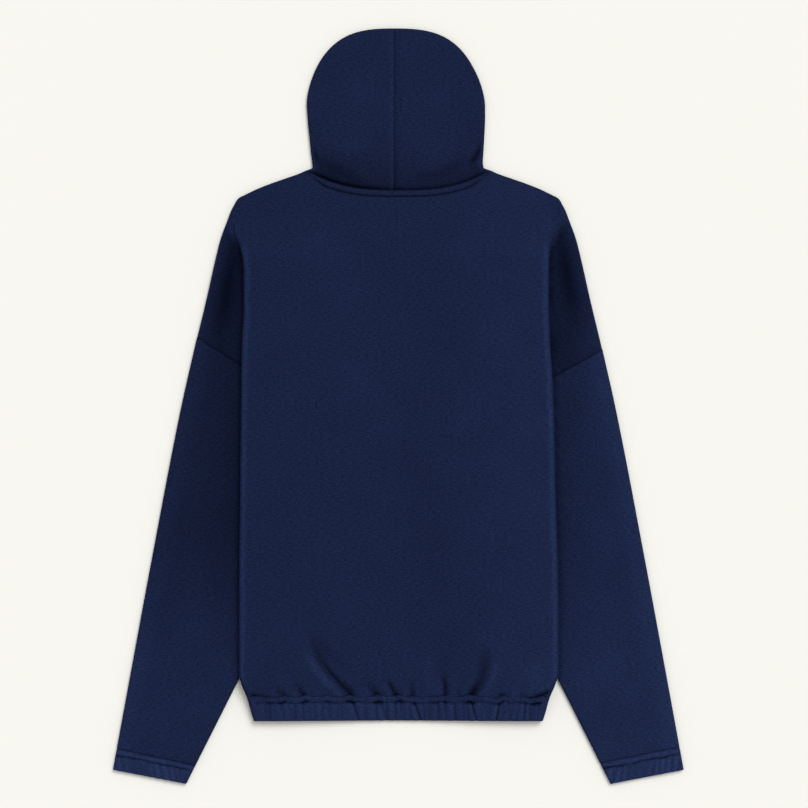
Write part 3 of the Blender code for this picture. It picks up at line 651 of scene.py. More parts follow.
def rimTone(grid, y):
    # a painted highlight just inside each side fold, on the top layer
    fold = grid[:, bodyColumns + 3 : bodyColumns + 4, 0]
    onTop = np.arange(grid.shape[1]) < bodyColumns + 5
    paintedAtFold = ease((rimLook["startY"] - y) / 30) * ease((y - rimLook["endY"]) / 20)
    return rimLook["gain"] * near(fold - rimLook["inset"] - grid[..., 0], rimLook["wide"]) * (onTop * paintedAtFold)


def bodySide(side, front):
    # half of the back, or a whole front: the cloth above the underarm, and the cloth below it
    way = 1 if front else -1
    upperRows, lowerRows = rowList(0, underarmRow), rowList(underarmRow, len(pleatRows) - 1)
    upper = np.array([bodyRow(side, front, r, True) for r in upperRows])
    kept = upper.shape[1] - body["turnSteps"] - body["armSteps"]
    lower = np.array([bodyRow(side, front, r, r == underarmRow)[:kept] for r in lowerRows])
    patches = []
    for grid, isUpper in ((upper, True), (lower, False)):
        x, y = grid[..., 0] * sides[side], grid[..., 1]
        u = grid[..., 0] * mm
        roundFold = clothLengths(grid[:, bodyColumns - 1 :])[0][:, 1:]
        u[:, bodyColumns:] = u[:, bodyColumns - 1 : bodyColumns] + roundFold
        v = y * mm + (0 if isUpper else 0.37)
        faceUp = np.zeros(grid.shape[:2])
        faceUp[:, :bodyColumns] = 1.0
        drawn = strokes(x, y, frontCreases if front else backCreases) * faceUp
        lift, shade = drawn.copy(), np.ones_like(x)
        if not front:
            beforeFold = 1 - ease((np.arange(grid.shape[1]) - bodyColumns + 8) / 8.0)
            lift += unevenLay("body", x, y) * faceUp * beforeFold
        lift += strokes(x, y, bodySwells) * faceUp
        if not front:
            # painted light on the back: lighter to the right, painted shade and highlight beside the creases,
            # and the creases painted darker in their troughs and lighter on their ridges
            shade += (bodyTone(x, y) + strokes(x, y, backPaintedShading)) * faceUp + 0.1 * drawn
            # painted highlight along the side folds
            shade += rimTone(grid, y)
            bandLift, bandDark = bandRelief(x, y)
            lift += bandLift * faceUp
            shade -= bandDark * faceUp
            # painted shade along the hem's seam, deeper where the gathers hang over it
            dark = hemSeam["dark"] + hemSeam["gatherDark"] * hemShadow(x + 4)
            shade -= dark * near(y - hemSeam["y"], hemSeam["wide"]) * faceUp
        if isUpper:
            onArm = np.zeros_like(x)
            onArm[:, -body["armSteps"] - 1 :] = 1.0
            fromSeam = seamDistance(side, x, y)
            lift += seamDip(fromSeam, armSeam["deep"], armSeam["wide"]) * onArm * -way
            if not front:
                lift += strokes(np.abs(x), y, armTroughs) * onArm
                # painted shade on the upper arm beside the fold
                shade = shade * (1 - (1 - armTone(side, x, y)) * onArm)
            # darker at the arm seam: painted shade in its groove, and the thread
            shade = shade * (1 - armSeam["dark"] * near(fromSeam, armSeam["darkWide"]) * onArm)
        grid[..., 2] += lift
        if not front:
            grid[..., 1] += hemWave(x) * ease((-325 - y) / 22) * faceUp
        patches.append({
            "points": placed(side, grid), "uv": (u * sides[side], v), "tone": np.maximum(shade, darkest)})
        if isUpper:
            neckEnd = round(body["columns"] * neckShare) - 1
            edge = np.concatenate([grid[0, neckEnd:], grid[[0 < r <= seamRow for r in upperRows], -1]])
            roll = rolledEdge(edge, outwardOf(edge), way)
            rollU, rollV = clothLengths(roll)
            patches.append({"points": placed(side, roll), "uv": (rollU + u.max(), rollV), "tone": 0.95})
        else:
            edge = grid[[r >= sideRow for r in lowerRows], -1]
            patches.append({"points": placed(side, rolledEdge(edge, np.array([-1.0, 0, 0]), -way))})
    return patches


# painted shade: the upper arm darker, darkest in a band beside the fold and in a line against it, with a
# painted highlight towards its outer edge
armShade = {
    "left": {"tone": 0.5, "band": 0.28, "out": 205, "y": 138, "half": 95, "startY": 219, "startOut": 207,
             "fall": 1.4, "low": 0.06, "line": 0.0},
    "right": {"tone": 0.57, "band": 0.32, "out": 202, "y": 156, "half": 80, "startY": 224, "startOut": 197,
              "fall": 2.2, "low": 0.2, "line": 0.24},
}
armFade = {
    "slope": 0.167, "bandWide": 9, "startOver": 10,
    "outer": 0.16, "outerFrom": 18, "outerOver": 14,
    "lowFrom": 135, "lowOver": 60, "lowOut": 203, "lowOutOver": 24,
    "lineOut": 1.2, "lineWide": 2.4,
}
rimLook = {  # a painted highlight along each side fold, where its edge catches the light
    "gain": 0.5, "inset": 3.6, "wide": 2.6, "startY": 205, "endY": -338,
}
# dark and darkWide: painted shade in the arm seam's groove, and the thread
armSeam = {"deep": 1.3, "wide": 1.5, "dark": 0.5, "darkWide": 1.3}
# painted shade along the hem's seam on the back, deeper under the gathers
hemSeam = {"y": -347.0, "dark": 0.08, "gatherDark": 0.5, "wide": 1.8}
pleatYs = [row[0] for row in pleatRows]
foldAt = {
    side: byHeight(*zip(pleatYs, [row[i] for row in pleatRows])) for side, i in (("left", 1), ("right", 2))
}


def armTone(side, x, y):
    out, look, fade = np.abs(x), armShade[side], armFade
    middle = look["out"] + fade["slope"] * (look["y"] - y)
    band = look["band"] * near(out - middle, fade["bandWide"]) * bump((y - look["y"]) / look["half"])
    startY = look["startY"] - look["fall"] * np.maximum(0, look["startOut"] - out)
    start = ease((startY - y) / fade["startOver"])
    outer = fade["outer"] * ease((out - armOuter(y) + fade["outerFrom"]) / fade["outerOver"])
    low = ease((fade["lowFrom"] - y) / fade["lowOver"])
    outer = outer + look["low"] * low * ease((out - fade["lowOut"]) / fade["lowOutOver"])
    paintedAtFold = look["line"] * near(out - foldAt[side](y) - fade["lineOut"], fade["lineWide"])
    return 1 + (look["tone"] - 1 - band + outer - paintedAtFold) * start


# painted light: the back lighter towards the right, where the light comes from, and a little lighter towards
# the hem
bodyShade = {
    "right": 0.13, "left": -0.02, "from": 40, "over": 130,
    "low": 0.04, "lowFrom": -200, "lowOver": 120,
}


def bodyTone(x, y):
    look = bodyShade
    right = look["right"] * ease((x - look["from"]) / look["over"])
    left = look["left"] * ease((-x - look["from"]) / look["over"])
    return right + left + look["low"] * ease((look["lowFrom"] - y) / look["lowOver"])


hemLook = {
    "top": -347.3,
    "casing": 7.4,  # from the seam to the lower line of stitches
    "long": 29.7,
    "columns": 172,
    "pucker": 2.1,
    # painted: shadow in the lower line of stitches, deepest under the gathers, and shade and highlight
    # following the gathers
    "tone": 1.28, "lineDark": 0.26, "gatherDark": 1.3, "gatherPaintedShade": 0.72,
    "fadeFrom": 178, "fadeOver": 12,  # the casing keeps straight at the folded sides
    # where the elastic draws the casing up or lets it hang: centre, height, half width
    "lifts": (
        (-136, 1.4, 4), (-110, 2.3, 5), (-84, 1.5, 5), (-68, -1.2, 4), (-59, 1.8, 4), (-43, -2.6, 7),
        (-26, 1.6, 5), (-15, -0.6, 4), (0, 1.3, 4), (10, -1, 4), (28, -2.5, 7), (67, -0.7, 8), (85, 2.4, 5),
        (95, 0.6, 5), (116, -1.8, 4.5), (126, 1.4, 3.5), (134, -1.4, 3), (142, 1.2, 3.5), (158, -1.4, 5),
    ),
    # where the gathers hang over the lower line: it is cut deeper there, and its painted shadow is darker:
    # centre, half width, strength
    "shadows": (
        (-154, 5, 0.6), (-139, 5.5, 0.85), (-112, 5, 0.9), (-84, 5, 0.6), (-57, 6.5, 1), (-24, 6.5, 1),
        (1.5, 6.5, 0.9), (18.5, 3.5, 0.9), (44, 5, 0.65), (56, 4, 0.8), (86, 6.5, 1), (122, 4.5, 0.85),
        (152, 4, 0.5), (165, 8, 0.95),
    ),
}


def hemWave(x):
    # the casing's seam is drawn up and down by the elastic
    wave = -0.4 + 0.25 * np.sin(x / 3.9)
    for centre, height, half in hemLook["lifts"]:
        wave = wave + height * near(x - centre, half)
    return wave * ease((hemLook["fadeFrom"] - np.abs(x)) / hemLook["fadeOver"])


def casingWave(x):
    # how far the lower stitches rise above an even distance from the seam; two gathers pinch them up
    pinch = 1.6 * near(x + 47, 6) + 1.6 * near(x - 131, 6)
    return 0.35 * np.sin(x / 8.1 + 1.2) + 0.3 * np.sin(x / 3.7) + pinch


def hemShadow(x):
    total = np.zeros_like(x)
    for centre, half, strength in hemLook["shadows"]:
        total += strength * np.exp(-(((x - centre) / half) ** 4))
    return np.minimum(total, 1.0)


print("making the body")
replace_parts(clothPiece("backPanel", bodySide("left", False) + bodySide("right", False)), "back_panel")
for side in sides:
    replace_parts(clothPiece("front" + side.capitalize(), bodySide(side, True)), "front_" + side)
print("body made")

notch = (191.4, -327.6)  # where a sleeve's inner edge comes out from under the body
cuffSeam = {"left": {"outerY": -411.7, "inY": -431.6}, "right": {"outerY": -409.4, "inY": -428.6}}
cuffEdge = {"outerY": -436.2, "inOut": 254.6, "inY": -453}
tube = {
    "columns": 34, "cuffColumns": 60, "rollSteps": 8,
    "rowGap": 3.4,
    "long": 500,  # the sleeve's length that its rows are spaced for
    "grain": 12.5,  # degrees that a sleeve's knit leans
}


def innerEdge(side, y):
    a = armhole[side]
    line = curveThrough([-a["inY"], -notch[1], -cuffEdge["inY"]], [a["inOut"], notch[0], cuffEdge["inOut"]])
    return line(-np.asarray(y, float))


def flatTube(outer, inner, columns):
    # a flattened tube's wall, closed round each ring: top layer, outer roll, lower layer, inner roll
    outer, inner = (np.concatenate([p, np.zeros((len(p), 1))], axis=1) for p in (outer, inner))
    across = outer - inner
    across /= np.linalg.norm(across, axis=1, keepdims=True)
    outer, inner = outer - across * edgeInset, inner + across * edgeInset
    up = np.array([0, 0, 1.0])
    share = np.linspace(0, 1, columns + 1)[None, :, None]
    bend = (math.pi * np.arange(1, tube["rollSteps"]) / tube["rollSteps"])[None, :, None]
    o, i, a = outer[:, None], inner[:, None], across[:, None]
    top = i + (o - i) * share + up * (tableTop + cloth["pair"])
    outerRoll = o + a * cloth["pair"] * np.sin(bend) + up * (tableTop + cloth["pair"] * np.cos(bend))
    low = o + (i - o) * share + up * (tableTop - cloth["pair"])
    innerRoll = i - a * cloth["pair"] * np.sin(bend) + up * (tableTop - cloth["pair"] * np.cos(bend))
    return np.concatenate([top, outerRoll, low, innerRoll, top[:, :1]], axis=1)


def tubeGrid(side, top, end, columns, shares):
    outerY = top[0] + (end[0] - top[0]) * shares
    inY = top[1] + (end[1] - top[1]) * shares
    outer = np.stack([armOuter(outerY), outerY], axis=1)
    inner = np.stack([innerEdge(side, inY), inY], axis=1)
    return flatTube(outer, inner, columns)


def grainAcross(side, grid):
    # cloth coordinates on a tube's top and underside, with the knit's rows square to the sleeve
    angle = math.radians(tube["grain"]) * sides[side]
    x, y = grid[..., 0] * sides[side], grid[..., 1]
    return (x * math.cos(angle) + y * math.sin(angle)) * mm, (-x * math.sin(angle) + y * math.cos(angle)) * mm


def closerAtEnds(length, gap):
    # shares of a length, evenly spaced but with extra rows beside the seams at both ends
    fine = np.array([0.5, 1.1, 1.8, 2.7]) / length
    return np.unique(np.concatenate([np.linspace(0, 1, math.ceil(length / gap) + 1), fine, 1 - fine]))


sleeveMarks = {
    "left": [
        ([(-222, 70), (-246, -60), (-276, -210), (-300, -330)], 0.5, 16, 60),
        ([(-205, 30), (-214, -60), (-232, -170)], -0.35, 12, 50),
        ([(-300, -372), (-290, -392), (-284, -412)], 0.5, 6, 14),
        ([(-330, -392), (-334, -404), (-336, -413)], 0.4, 5, 8),
        ([(-262, -398), (-258, -414), (-256, -424)], 0.4, 4, 8),
        ([(-274, -396), (-270, -410), (-267, -421)], -0.4, 4, 10),
    ],
    "right": [
        ([(224, 55), (250, -70), (270, -200), (298, -330)], 0.5, 18, 60),
        ([(208, 20), (220, -80), (236, -180)], -0.35, 12, 50),
        ([(296, -370), (300, -395), (302, -415)], 0.4, 7, 16),
        ([(326, -388), (330, -402), (331, -412)], 0.4, 5, 8),
        ([(268, -394), (264, -410), (262, -424)], 0.4, 4, 8),
        ([(282, -402), (280, -412), (278, -420)], -0.4, 3.5, 7),
    ],
}
cuffLook = {
    "casing": 6.4,  # from the cuff's seam to the lower line of stitches
    "long": 23.5,
    "ridge": 1.0,
    "seamDeep": 1.4,
    "lineDeep": 1.4,
    "pucker": 1.0,
    "puckerWide": 8.6,
    # painted: shade in the lower line of stitches and in the seam, and shade and highlight following the
    # gathers
    "tone": 1.64, "lineDark": 1.2, "lineWide": 1.45, "seamDark": 0.5, "gatherPaintedShade": 0.8,
    "startX": 250,  # where the gathers are counted from
    "slant": 1.02,  # it is this much longer than wide, because it slopes
    "rows": np.unique(np.concatenate([np.linspace(0, 1, 26), [0.02, 0.27, 0.29, 0.31, 0.33, 0.98]])),
}


def cuffPuckers(side, along, down):
    # elastic gathers it unevenly, so the ribs' spacing and height wander
    drift = 2.6 * np.sin(along / 17.0 + sides[side]) + 1.4 * np.sin(along / 6.1 + 2 * sides[side])
    ribs = 0.5 + 0.5 * np.cos(2 * math.pi * (along + drift + 0.16 * down) / cuffLook["puckerWide"])
    strength = 0.55 + 0.45 * np.sin(along / 11.0 + 1.3 * sides[side])
    return ribs**1.5 * strength


def layerMasks(grid, columns):
    # 1 on a tube's top layer, then on its lower layer, fading at the folds
    share = np.arange(columns + 1)
    masks = np.zeros((2,) + grid.shape[:2])
    for mask, first in zip(masks, (0, columns + tube["rollSteps"])):
        mask[:, first : first + columns + 1] = ease(np.minimum(share, columns - share) / 3)
    return masks


# painted shade: the sleeve darkest beside the body and lighter outwards, with a painted highlight at its
# outer edge and a painted shadow line against the fold; lighter towards the cuff
sleeveShade = {
    "left": {"dark": 0.5, "light": 0.7, "cuff": 1.09, "rim": 0.18, "line": 0.0},
    "right": {"dark": 0.74, "light": 1.06, "cuff": 1.2, "rim": 0.24, "line": 0.3},
}
sleeveFade = {
    "least": 0.25, "foldFrom": 190, "foldOver": 60,
    "cuffShare": 0.9, "cuffFrom": -120, "cuffOver": 240,
    "rimFrom": 30, "rimOver": 26,
    "lineOut": 2, "lineWide": 3,
}


def sleeveTone(side, x, y):
    out, look, fade = np.abs(x), sleeveShade[side], sleeveFade
    fromFold = ease((out - fade["foldFrom"]) / fade["foldOver"])
    shade = look["dark"] + (look["light"] - look["dark"]) * (fade["least"] + (1 - fade["least"]) * fromFold)
    toCuff = ease((fade["cuffFrom"] - y) / fade["cuffOver"])
    shade = shade + (look["cuff"] - shade) * toCuff * fade["cuffShare"]
    rim = ease((out - armOuter(y) + fade["rimFrom"]) / fade["rimOver"])
    paintedAtFold = look["line"] * near(out - foldAt[side](y) - fade["lineOut"], fade["lineWide"])
    return shade + look["rim"] * rim - paintedAtFold


def makeSleeve(side):
    a, joint, sign, gap = armhole[side], cuffSeam[side], sides[side], cloth["gap"]
    rows = closerAtEnds(tube["long"], tube["rowGap"])
    grid = tubeGrid(side, (a["outerY"] - gap / 2, a["inY"] - gap),
                    (joint["outerY"] + gap / 2, joint["inY"] + gap / 2), tube["columns"], rows)
    x, y = grid[..., 0] * sign, grid[..., 1]
    shares = rows[:, None] * np.ones(grid.shape[1])
    onTop, below = layerMasks(grid, tube["columns"])
    upper = ease((grid[..., 2] - tableTop + 1) / 2)
    whole = (grid[..., 2] > tableTop - 0.2) * 1.0
    fromSeam, toCuff = seamDistance(side, x, y), (1 - shares) * tube["long"]
    lift = strokes(x, y, sleeveMarks[side]) * onTop
    lift += unevenLay("sleeve", x, y, sign) * onTop
    lift += strokes(x, y, [(p, abs(h) * 0.6, w, f) for p, h, w, f in sleeveMarks[side]]) * below * 0.6
    lift += seamDip(fromSeam, armSeam["deep"], armSeam["wide"]) * whole
    lift += seamDip(toCuff, cuffLook["seamDeep"], 1.4) * whole
    uv = grainAcross(side, grid)
    rollAt = np.zeros(grid.shape[1])
    rollAt[tube["columns"] - 1 : tube["columns"] + tube["rollSteps"] + 2] = 1.0
    grid[..., 2] += lift
    grid[..., 1] += 1.5 * (1 - ease(shares * tube["long"] / 4.0)) * rollAt  # closes the seam at the edge
    # painted shade and highlight on the sleeve's top
    shade = 1 + (sleeveTone(side, x, y) - 1) * upper
    # darker at the arm seam and the cuff seam: painted shade in their grooves, and the thread
    shade = shade * (1 - armSeam["dark"] * near(fromSeam, armSeam["darkWide"]))
    shade = shade * (1 - 0.35 * near(toCuff, 1.6))
    return [{"points": placed(side, grid), "uv": uv, "tone": shade}]


def makeCuff(side):
    joint, sign, gap, columns = cuffSeam[side], sides[side], cloth["gap"], tube["cuffColumns"]
    grid = tubeGrid(side, (joint["outerY"] - gap / 2, joint["inY"] - gap / 2),
                    (cuffEdge["outerY"], cuffEdge["inY"]), columns, cuffLook["rows"])
    x = grid[..., 0] * sign
    onTop, below = layerMasks(grid, columns)
    down = cuffLook["rows"][:, None] * cuffLook["long"] * np.ones(grid.shape[1])
    along = np.abs(np.abs(x) - cuffLook["startX"]) * cuffLook["slant"]
    fromLine = down - cuffLook["casing"]
    wobble = 0.5 * np.sin(along / 7.3 + sign) + 0.3 * np.sin(along / 2.9)
    gather = cuffPuckers(side, along, down) * cuffLook["pucker"]
    inBand = ease(fromLine / 3.5)
    ridge = cuffLook["ridge"] * ease(down / 2.4) * (1 - ease((fromLine + 2.2) / 2.0))
    line = seamDip(fromLine + wobble, cuffLook["lineDeep"], 1.1)
    lift = (gather * inBand + (ridge + gather * 0.4 * (1 - inBand)) + line) * onTop
    lift += gather * inBand * 0.5 * below
    lift += seamDip(down, cuffLook["seamDeep"], 1.2) * (grid[..., 2] > tableTop - 0.2)
    lift -= 0.5 * near(cuffLook["long"] - down, 1.6) * onTop
    # painted shade in the lower line of stitches and in the seam, uneven along the cuff, and painted shade
    # and highlight following the gathers
    uneven = 0.9 + 0.5 * np.sin(along / 9.5 + 2.2 * sign) * np.sin(along / 4.3 + 1)
    shade = cuffLook["tone"] - cuffLook["lineDark"] * uneven * near(fromLine + wobble, cuffLook["lineWide"])
    shade -= cuffLook["seamDark"] * (1.8 - uneven) * near(down, 1.4)
    shade += cuffLook["gatherPaintedShade"] * (gather / cuffLook["pucker"] - 0.35) * inBand
    uv = grainAcross(side, grid)
    grid[..., 2] += lift
    return [{"points": placed(side, grid), "uv": uv, "tone": shade}]


print("making the sleeves")
for side in sides:
    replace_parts(clothPiece("sleeve" + side.capitalize(), makeSleeve(side)), "sleeve_" + side)
    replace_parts(clothPiece("cuff" + side.capitalize(), makeCuff(side)), "cuff_" + side)
print("sleeves made")


hemTable = {
    "edge": byHeight((-347, 182), (-355, 179.6), (-366, 176.8), (-377, 173.4)),
    "tuck": byHeight((-347, 8), (-355, 7.5), (-366, 7), (-377, 6.5)),
}
# the elastic's gathers: x at the casing, x at the band's edge, and depth
hemPleats = (
    (-159.5, -158.5, 0.4), (-155, -153.5, 0.3), (-139.5, -136.5, 0.35), (-131, -128, 0.5),
    (-124.5, -123, 0.5), (-114, -113.5, 0.35), (-107, -105.5, 0.4), (-101, -99.5, 0.3),
    (-91.5, -91, 0.3), (-82.5, -81.5, 0.4), (-73, -72.5, 0.3), (-68.5, -67, 0.3), (-54.5, -47.5, 0.9),
    (-41, -39.5, 0.3), (-27, -25, 0.5), (-20.5, -16, 0.6), (-14.5, -13, 0.5), (-4, -3, 0.7),
    (2.5, 4, 0.6), (7, 8, 0.4), (13, 14.5, 0.5), (19.5, 26.5, 1), (30, 31.5, 0.35), (36.5, 37, 0.4),
    (47, 48.5, 0.7), (55.5, 57.5, 0.5), (67, 68, 0.9), (72.5, 72.5, 0.3), (78, 79, 0.6), (83, 84, 0.5),
    (87, 93.5, 1), (98.5, 99.5, 0.3), (104, 104, 0.4), (109, 109, 0.3), (121, 117, 0.9),
    (126, 126, 0.4), (131.5, 132.5, 0.4), (137.5, 136, 0.3), (144.5, 141, 0.4), (152, 150, 0.8),
    (158, 156.5, 0.7), (163, 160.5, 0.6), (169, 166.5, 0.4),
)


def hemGather(x, y, offset=0.0):
    down = np.clip((hemLook["top"] - hemLook["casing"] - y) / 22.0, -0.35, 1)
    total = np.zeros_like(x)
    for top, bottom, depth in hemPleats:
        middle = top + (bottom - top) * down + offset
        wide = 1.3 + 0.8 * abs(math.sin(7.3 * top))  # uneven from gather to gather
        soft = 1 - 0.55 * np.clip(down, 0, 1) * (0.5 + 0.5 * math.sin(3.1 * top))
        ridge = 0.5 * near(x - middle + 2.2 * wide, 1.5 * wide)
        total -= depth * soft * (near(x - middle, wide) - ridge)
    return total


def hemRing(y):
    # the casing at one height: its back from the centre out, the turn at the side, and the front back again
    high = float(tuckHeight(y)) + 2 * cloth["turn"]
    edge, tuck = float(hemTable["edge"](y)), float(hemTable["tuck"](y))
    centre = edge - reach
    inner = centre - tuck - reach - 2
    out = centre * np.linspace(0, 1, hemLook["columns"] + 1)
    low = slackAt(out, y)
    rise = np.where(out < inner, 1.0 - bump(out / inner), 1.0)
    angle = math.pi * np.arange(1, 9) / 8
    foldOut, foldHigh = centre + cloth["turn"] * np.sin(angle), high - cloth["turn"] * (1 - np.cos(angle))
    share = np.arange(1, 4) / 3
    runs = [
        (out, low + (high - low) * rise, np.zeros(len(out))),
        (foldOut, foldHigh, angle),
        (foldOut[-1] - tuck * share, np.full(3, foldHigh[-1]), np.full(3, math.pi)),
    ]
    out, height, angle = (np.concatenate([run[i] for run in runs]) for i in range(3))

    def layer(pair, out=out, height=height, angle=angle):
        outs, heights = out + pair * np.sin(angle), height + pair * np.cos(angle)
        return np.stack([outs, np.full(len(angle), y), heights], axis=1)

    back, front = layer(cloth["pair"]), layer(-cloth["pair"])
    end = layer(-cloth["pair"], out[-1], height[-1], math.pi * np.arange(1, 8) / 8)
    front = front[out > neck["frontEdge"]]
    first = np.array([[neck["frontEdge"], y, front[0][2]]])
    return back, end, np.concatenate([first, front])[::-1]


def hemHalf(side):
    grid = np.array([np.concatenate(hemRing(hemLook["top"] - d)) for d in hemRows])
    x, y = grid[..., 0] * sides[side], grid[..., 1]
    index, columns, pucker = np.arange(grid.shape[1]), hemLook["columns"], hemLook["pucker"]
    frontStart = grid.shape[1] - (columns - 4)
    onBack = ease((columns - index) / 5.0) * (index <= columns)
    onFront = ease((index - frontStart) / 5.0) * (index >= frontStart)
    down = hemLook["top"] - y
    fromLine = down - hemLook["casing"] + casingWave(x)
    inBand = ease(fromLine / 3.0)
    gathers, shadow, seamShadow = hemGather(x, y), hemShadow(x), hemShadow(x + 4)
    runOn = strokes(x, np.maximum(y, hemLook["top"] + 0.4), backCreases) * (1 - ease(down / 9.0))
    ridge = (1.0 + 0.8 * shadow) * ease(down / 2.2) * (1 - ease((fromLine + 1.8) / 1.6))
    line = seamDip(fromLine, 0.7 + 1.0 * shadow, 1.2)
    lift = (gathers * pucker * (0.35 + 0.65 * inBand) + ridge + line + 0.7 * runOn) * onBack
    # on the side that rests, a gather only goes up into the cloth
    lift += 0.6 * pucker * np.maximum(0, -hemGather(-x, y, 3.0)) * onFront * (0.35 + 0.65 * inBand)
    lift += seamDip(down, 1, 1.2) * (0.5 + 0.5 * seamShadow) * onBack
    lift -= 0.5 * near(hemLook["long"] - down, 1.6) * onBack
    # painted shadow in the lower line of stitches, darkest under the gathers; painted shade in the seam;
    # painted shade and highlight following the gathers and the creases running on; a little lighter below the
    # lower line and a little darker below the seam
    thick = np.where(fromLine > 0, 1.2 + 1.6 * shadow, 1.1 + 0.5 * shadow)
    dark = hemLook["lineDark"] + hemLook["gatherDark"] * shadow
    shade = hemLook["tone"] - dark * near(fromLine, thick) * onBack
    shade += 0.16 * bump((fromLine - 4.6) / 3.2) * onBack
    shade -= (0.1 + 0.5 * seamShadow) * near(down, 1.5) * onBack
    shade += hemLook["gatherPaintedShade"] * gathers * inBand * onBack + 0.08 * runOn
    shade -= 0.12 * bump((down - 3.4) / 4.2) * onBack
    u, v = clothLengths(grid)
    u, v = u * sides[side], v - 0.62
    u[:, : columns + 1], v[:, : columns + 1] = x[:, : columns + 1] * mm, y[:, : columns + 1] * mm
    wave = hemWave(x) * (1 - ease(down / 26.0)) * onBack
    grid[..., 2] += lift
    grid[..., 1] += wave
    return {"points": placed(side, grid), "uv": (u, v), "tone": np.maximum(shade, darkest)}


print("making the hem")
hemRows = (
    0, 0.5, 1.1, 1.8, 2.7, 3.8, 4.9, 5.8, 6.5, 7.1, 7.6, 8.1, 8.8, 9.7, 11, 12.6, 14.4, 16.4, 18.4, 20.4,
    22.4, 24.2, 26, 27.4, 28.5, 29.2, hemLook["long"])
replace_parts(clothPiece("hemBand", [hemHalf(side) for side in sides]), "hem_band")
print("hem made")


hood = {
    "gap": 0.05,  # half the seam at the crown
    "domeY": 360, "halfWidth": 106.8, "height": 92.9, "sidePower": 1.9, "topPower": 2.6,
    "heartY": 352,  # where the rows of the dome meet on the centre seam
    "faceTop": 418, "faceEnd": 225,
    "domeRows": 84, "sideRows": 30, "neckRows": 40, "columns": 44, "lowColumns": 16,
    "seamLean": -4.8,
    "bendFrom": 300, "bendOver": 17,  # where the cloth starts to keep to the neckline
}
# a point's number along the outline from the crown: the sides begin, the neck point, the front neck's middle
sideFrom, neckAt, frontAt = 7, 11, 15
# the crown lies a little to the left of the neck
hoodLean = byHeight(
    (452, -4.2), (415, -4.2), (391, -3.6), (367, -3.1), (343, -2.3), (319, -1.7), (295, -1.1), (283, 0),
)
hoodSide = byHeight(
    (360, 106.8), (343, 106.2), (319, 104.4), (307, 103.3), (295, 102.1), (288, 103.2), (283, 109.5),
)
faceEdge = byHeight((418, 0.15), (410, 26), (385, 42), (345, 47), (300, 40), (262, 26), (225, 6.8))
hoodCreases = {
    "left": [
        ([(-105, 312), (-101, 302), (-96, 292)], -1.8, 3.4, 8),
        ([(-100, 316), (-95, 304), (-90, 294)], 0.7, 4.0, 8),
        ([(-96, 300), (-80, 290), (-60, 283)], -0.4, 5.0, 14),
        ([(-70, 400), (-50, 375), (-40, 340)], 0.35, 16, 40),
        ([(-30, 330), (-60, 305), (-85, 300)], 0.3, 12, 30),
    ],
    "right": [
        ([(84, 288), (91, 295), (98, 304), (104, 315), (109, 328)], -2.6, 3.2, (12, 3)),
        ([(92, 286), (99, 294), (105, 304)], 1.2, 3.6, 8),
        ([(80, 295), (89, 304), (96, 315)], 0.5, 4.5, 9),
        ([(60, 404), (50, 370), (58, 335)], 0.35, 16, 40),
        ([(20, 300), (50, 296), (70, 290)], 0.3, 10, 20),
    ],
}
# beside the centre seam the cloth of one panel stands up a little
hoodRidge = {
    "left": {"height": 0.8, "out": 4.2, "wide": 2.6},
    "right": {"height": -0.2, "out": 6, "wide": 4.0},
}
hoodLook = {
    # painted: shade and highlight following the creases, and shade in the centre seam
    "creases": 1.4, "creasePaintedShade": 0.16,
    "seamDeep": 1.2, "seamWide": 1.4, "seamDark": 0.3, "seamDarkWide": 1.1,
    "neckDeep": 1.0, "neckWide": 3.2,
    "lowDark": 0.32, "lowWide": 34,  # painted shade towards the neck seam
    "neckDark": 0.4, "neckDarkWide": 3.0,
    "litX": -3.6, "lit": 0.16, "litWide": 2.4,  # painted highlight left of the centre seam, painted shade right of it
    "dimX": 4, "dim": 0.08, "dimWide": 3.5,
}
# painted shade and highlight above the neck seam and by the creases, as for the back
hoodPaintedShading = [
    ([(-94, 290), (-70, 284), (-40, 276)], -0.14, 4, (10, 14)),
    ([(-88, 284), (-60, 274), (-30, 268)], -0.16, 3, (10, 14)),
    ([(-104, 318), (-100, 300), (-92, 288)], -0.16, 5, (10, 8)),
    ([(-86, 300), (-50, 296), (-20, 300)], -0.07, 9, (16, 16)),
    ([(20, 276), (50, 278), (78, 288)], -0.14, 3.5, (12, 10)),
    ([(52, 284), (66, 288), (80, 296)], -0.1, 4, (10, 8)),
    ([(104, 300), (107, 316)], 0.16, 3.5, (6, 6)),
    ([(-60, 330), (-20, 345)], 0.05, 14, (16, 16)),
]


def hoodNeck(neckline, t):
    # the hood's side of a neckline, moved off the body's edge and stopping short of the shoulder
    t = t * 0.978
    out, y = neckline(t)
    ahead, behind = neckline(np.minimum(t + 0.01, 0.97)), neckline(np.clip(t - 0.01, 0, 0.95))
    alongOut, alongY = ahead[0] - behind[0], ahead[1] - behind[1]
    length = np.hypot(alongOut, alongY)
    y = y + belowShoulder(t) + alongOut / length * cloth["gap"]
    return out - alongY / length * cloth["gap"], y


def leaned(side, grid, above):
    # the outline leans with the crown while the seam down the middle of the upper layer stays straight
    out, y = grid[..., 0], grid[..., 1]
    rim = hoodLean(y)
    shift = np.where(above, hood["seamLean"] + (rim - hood["seamLean"]) * ease(out / hoodSide(y)), rim)
    slide = backNeckY(out + sides[side] * shift) - backNeckY(out)
    moved = placed(side, grid, shift)
    moved[..., 1] += slide * np.clip((hood["bendFrom"] - y) / hood["bendOver"], 0, 1) * above
    return moved


def backNeckY(out):
    return backNeck(np.minimum(1.0, np.abs(out) / neckPoint[0]))[1]


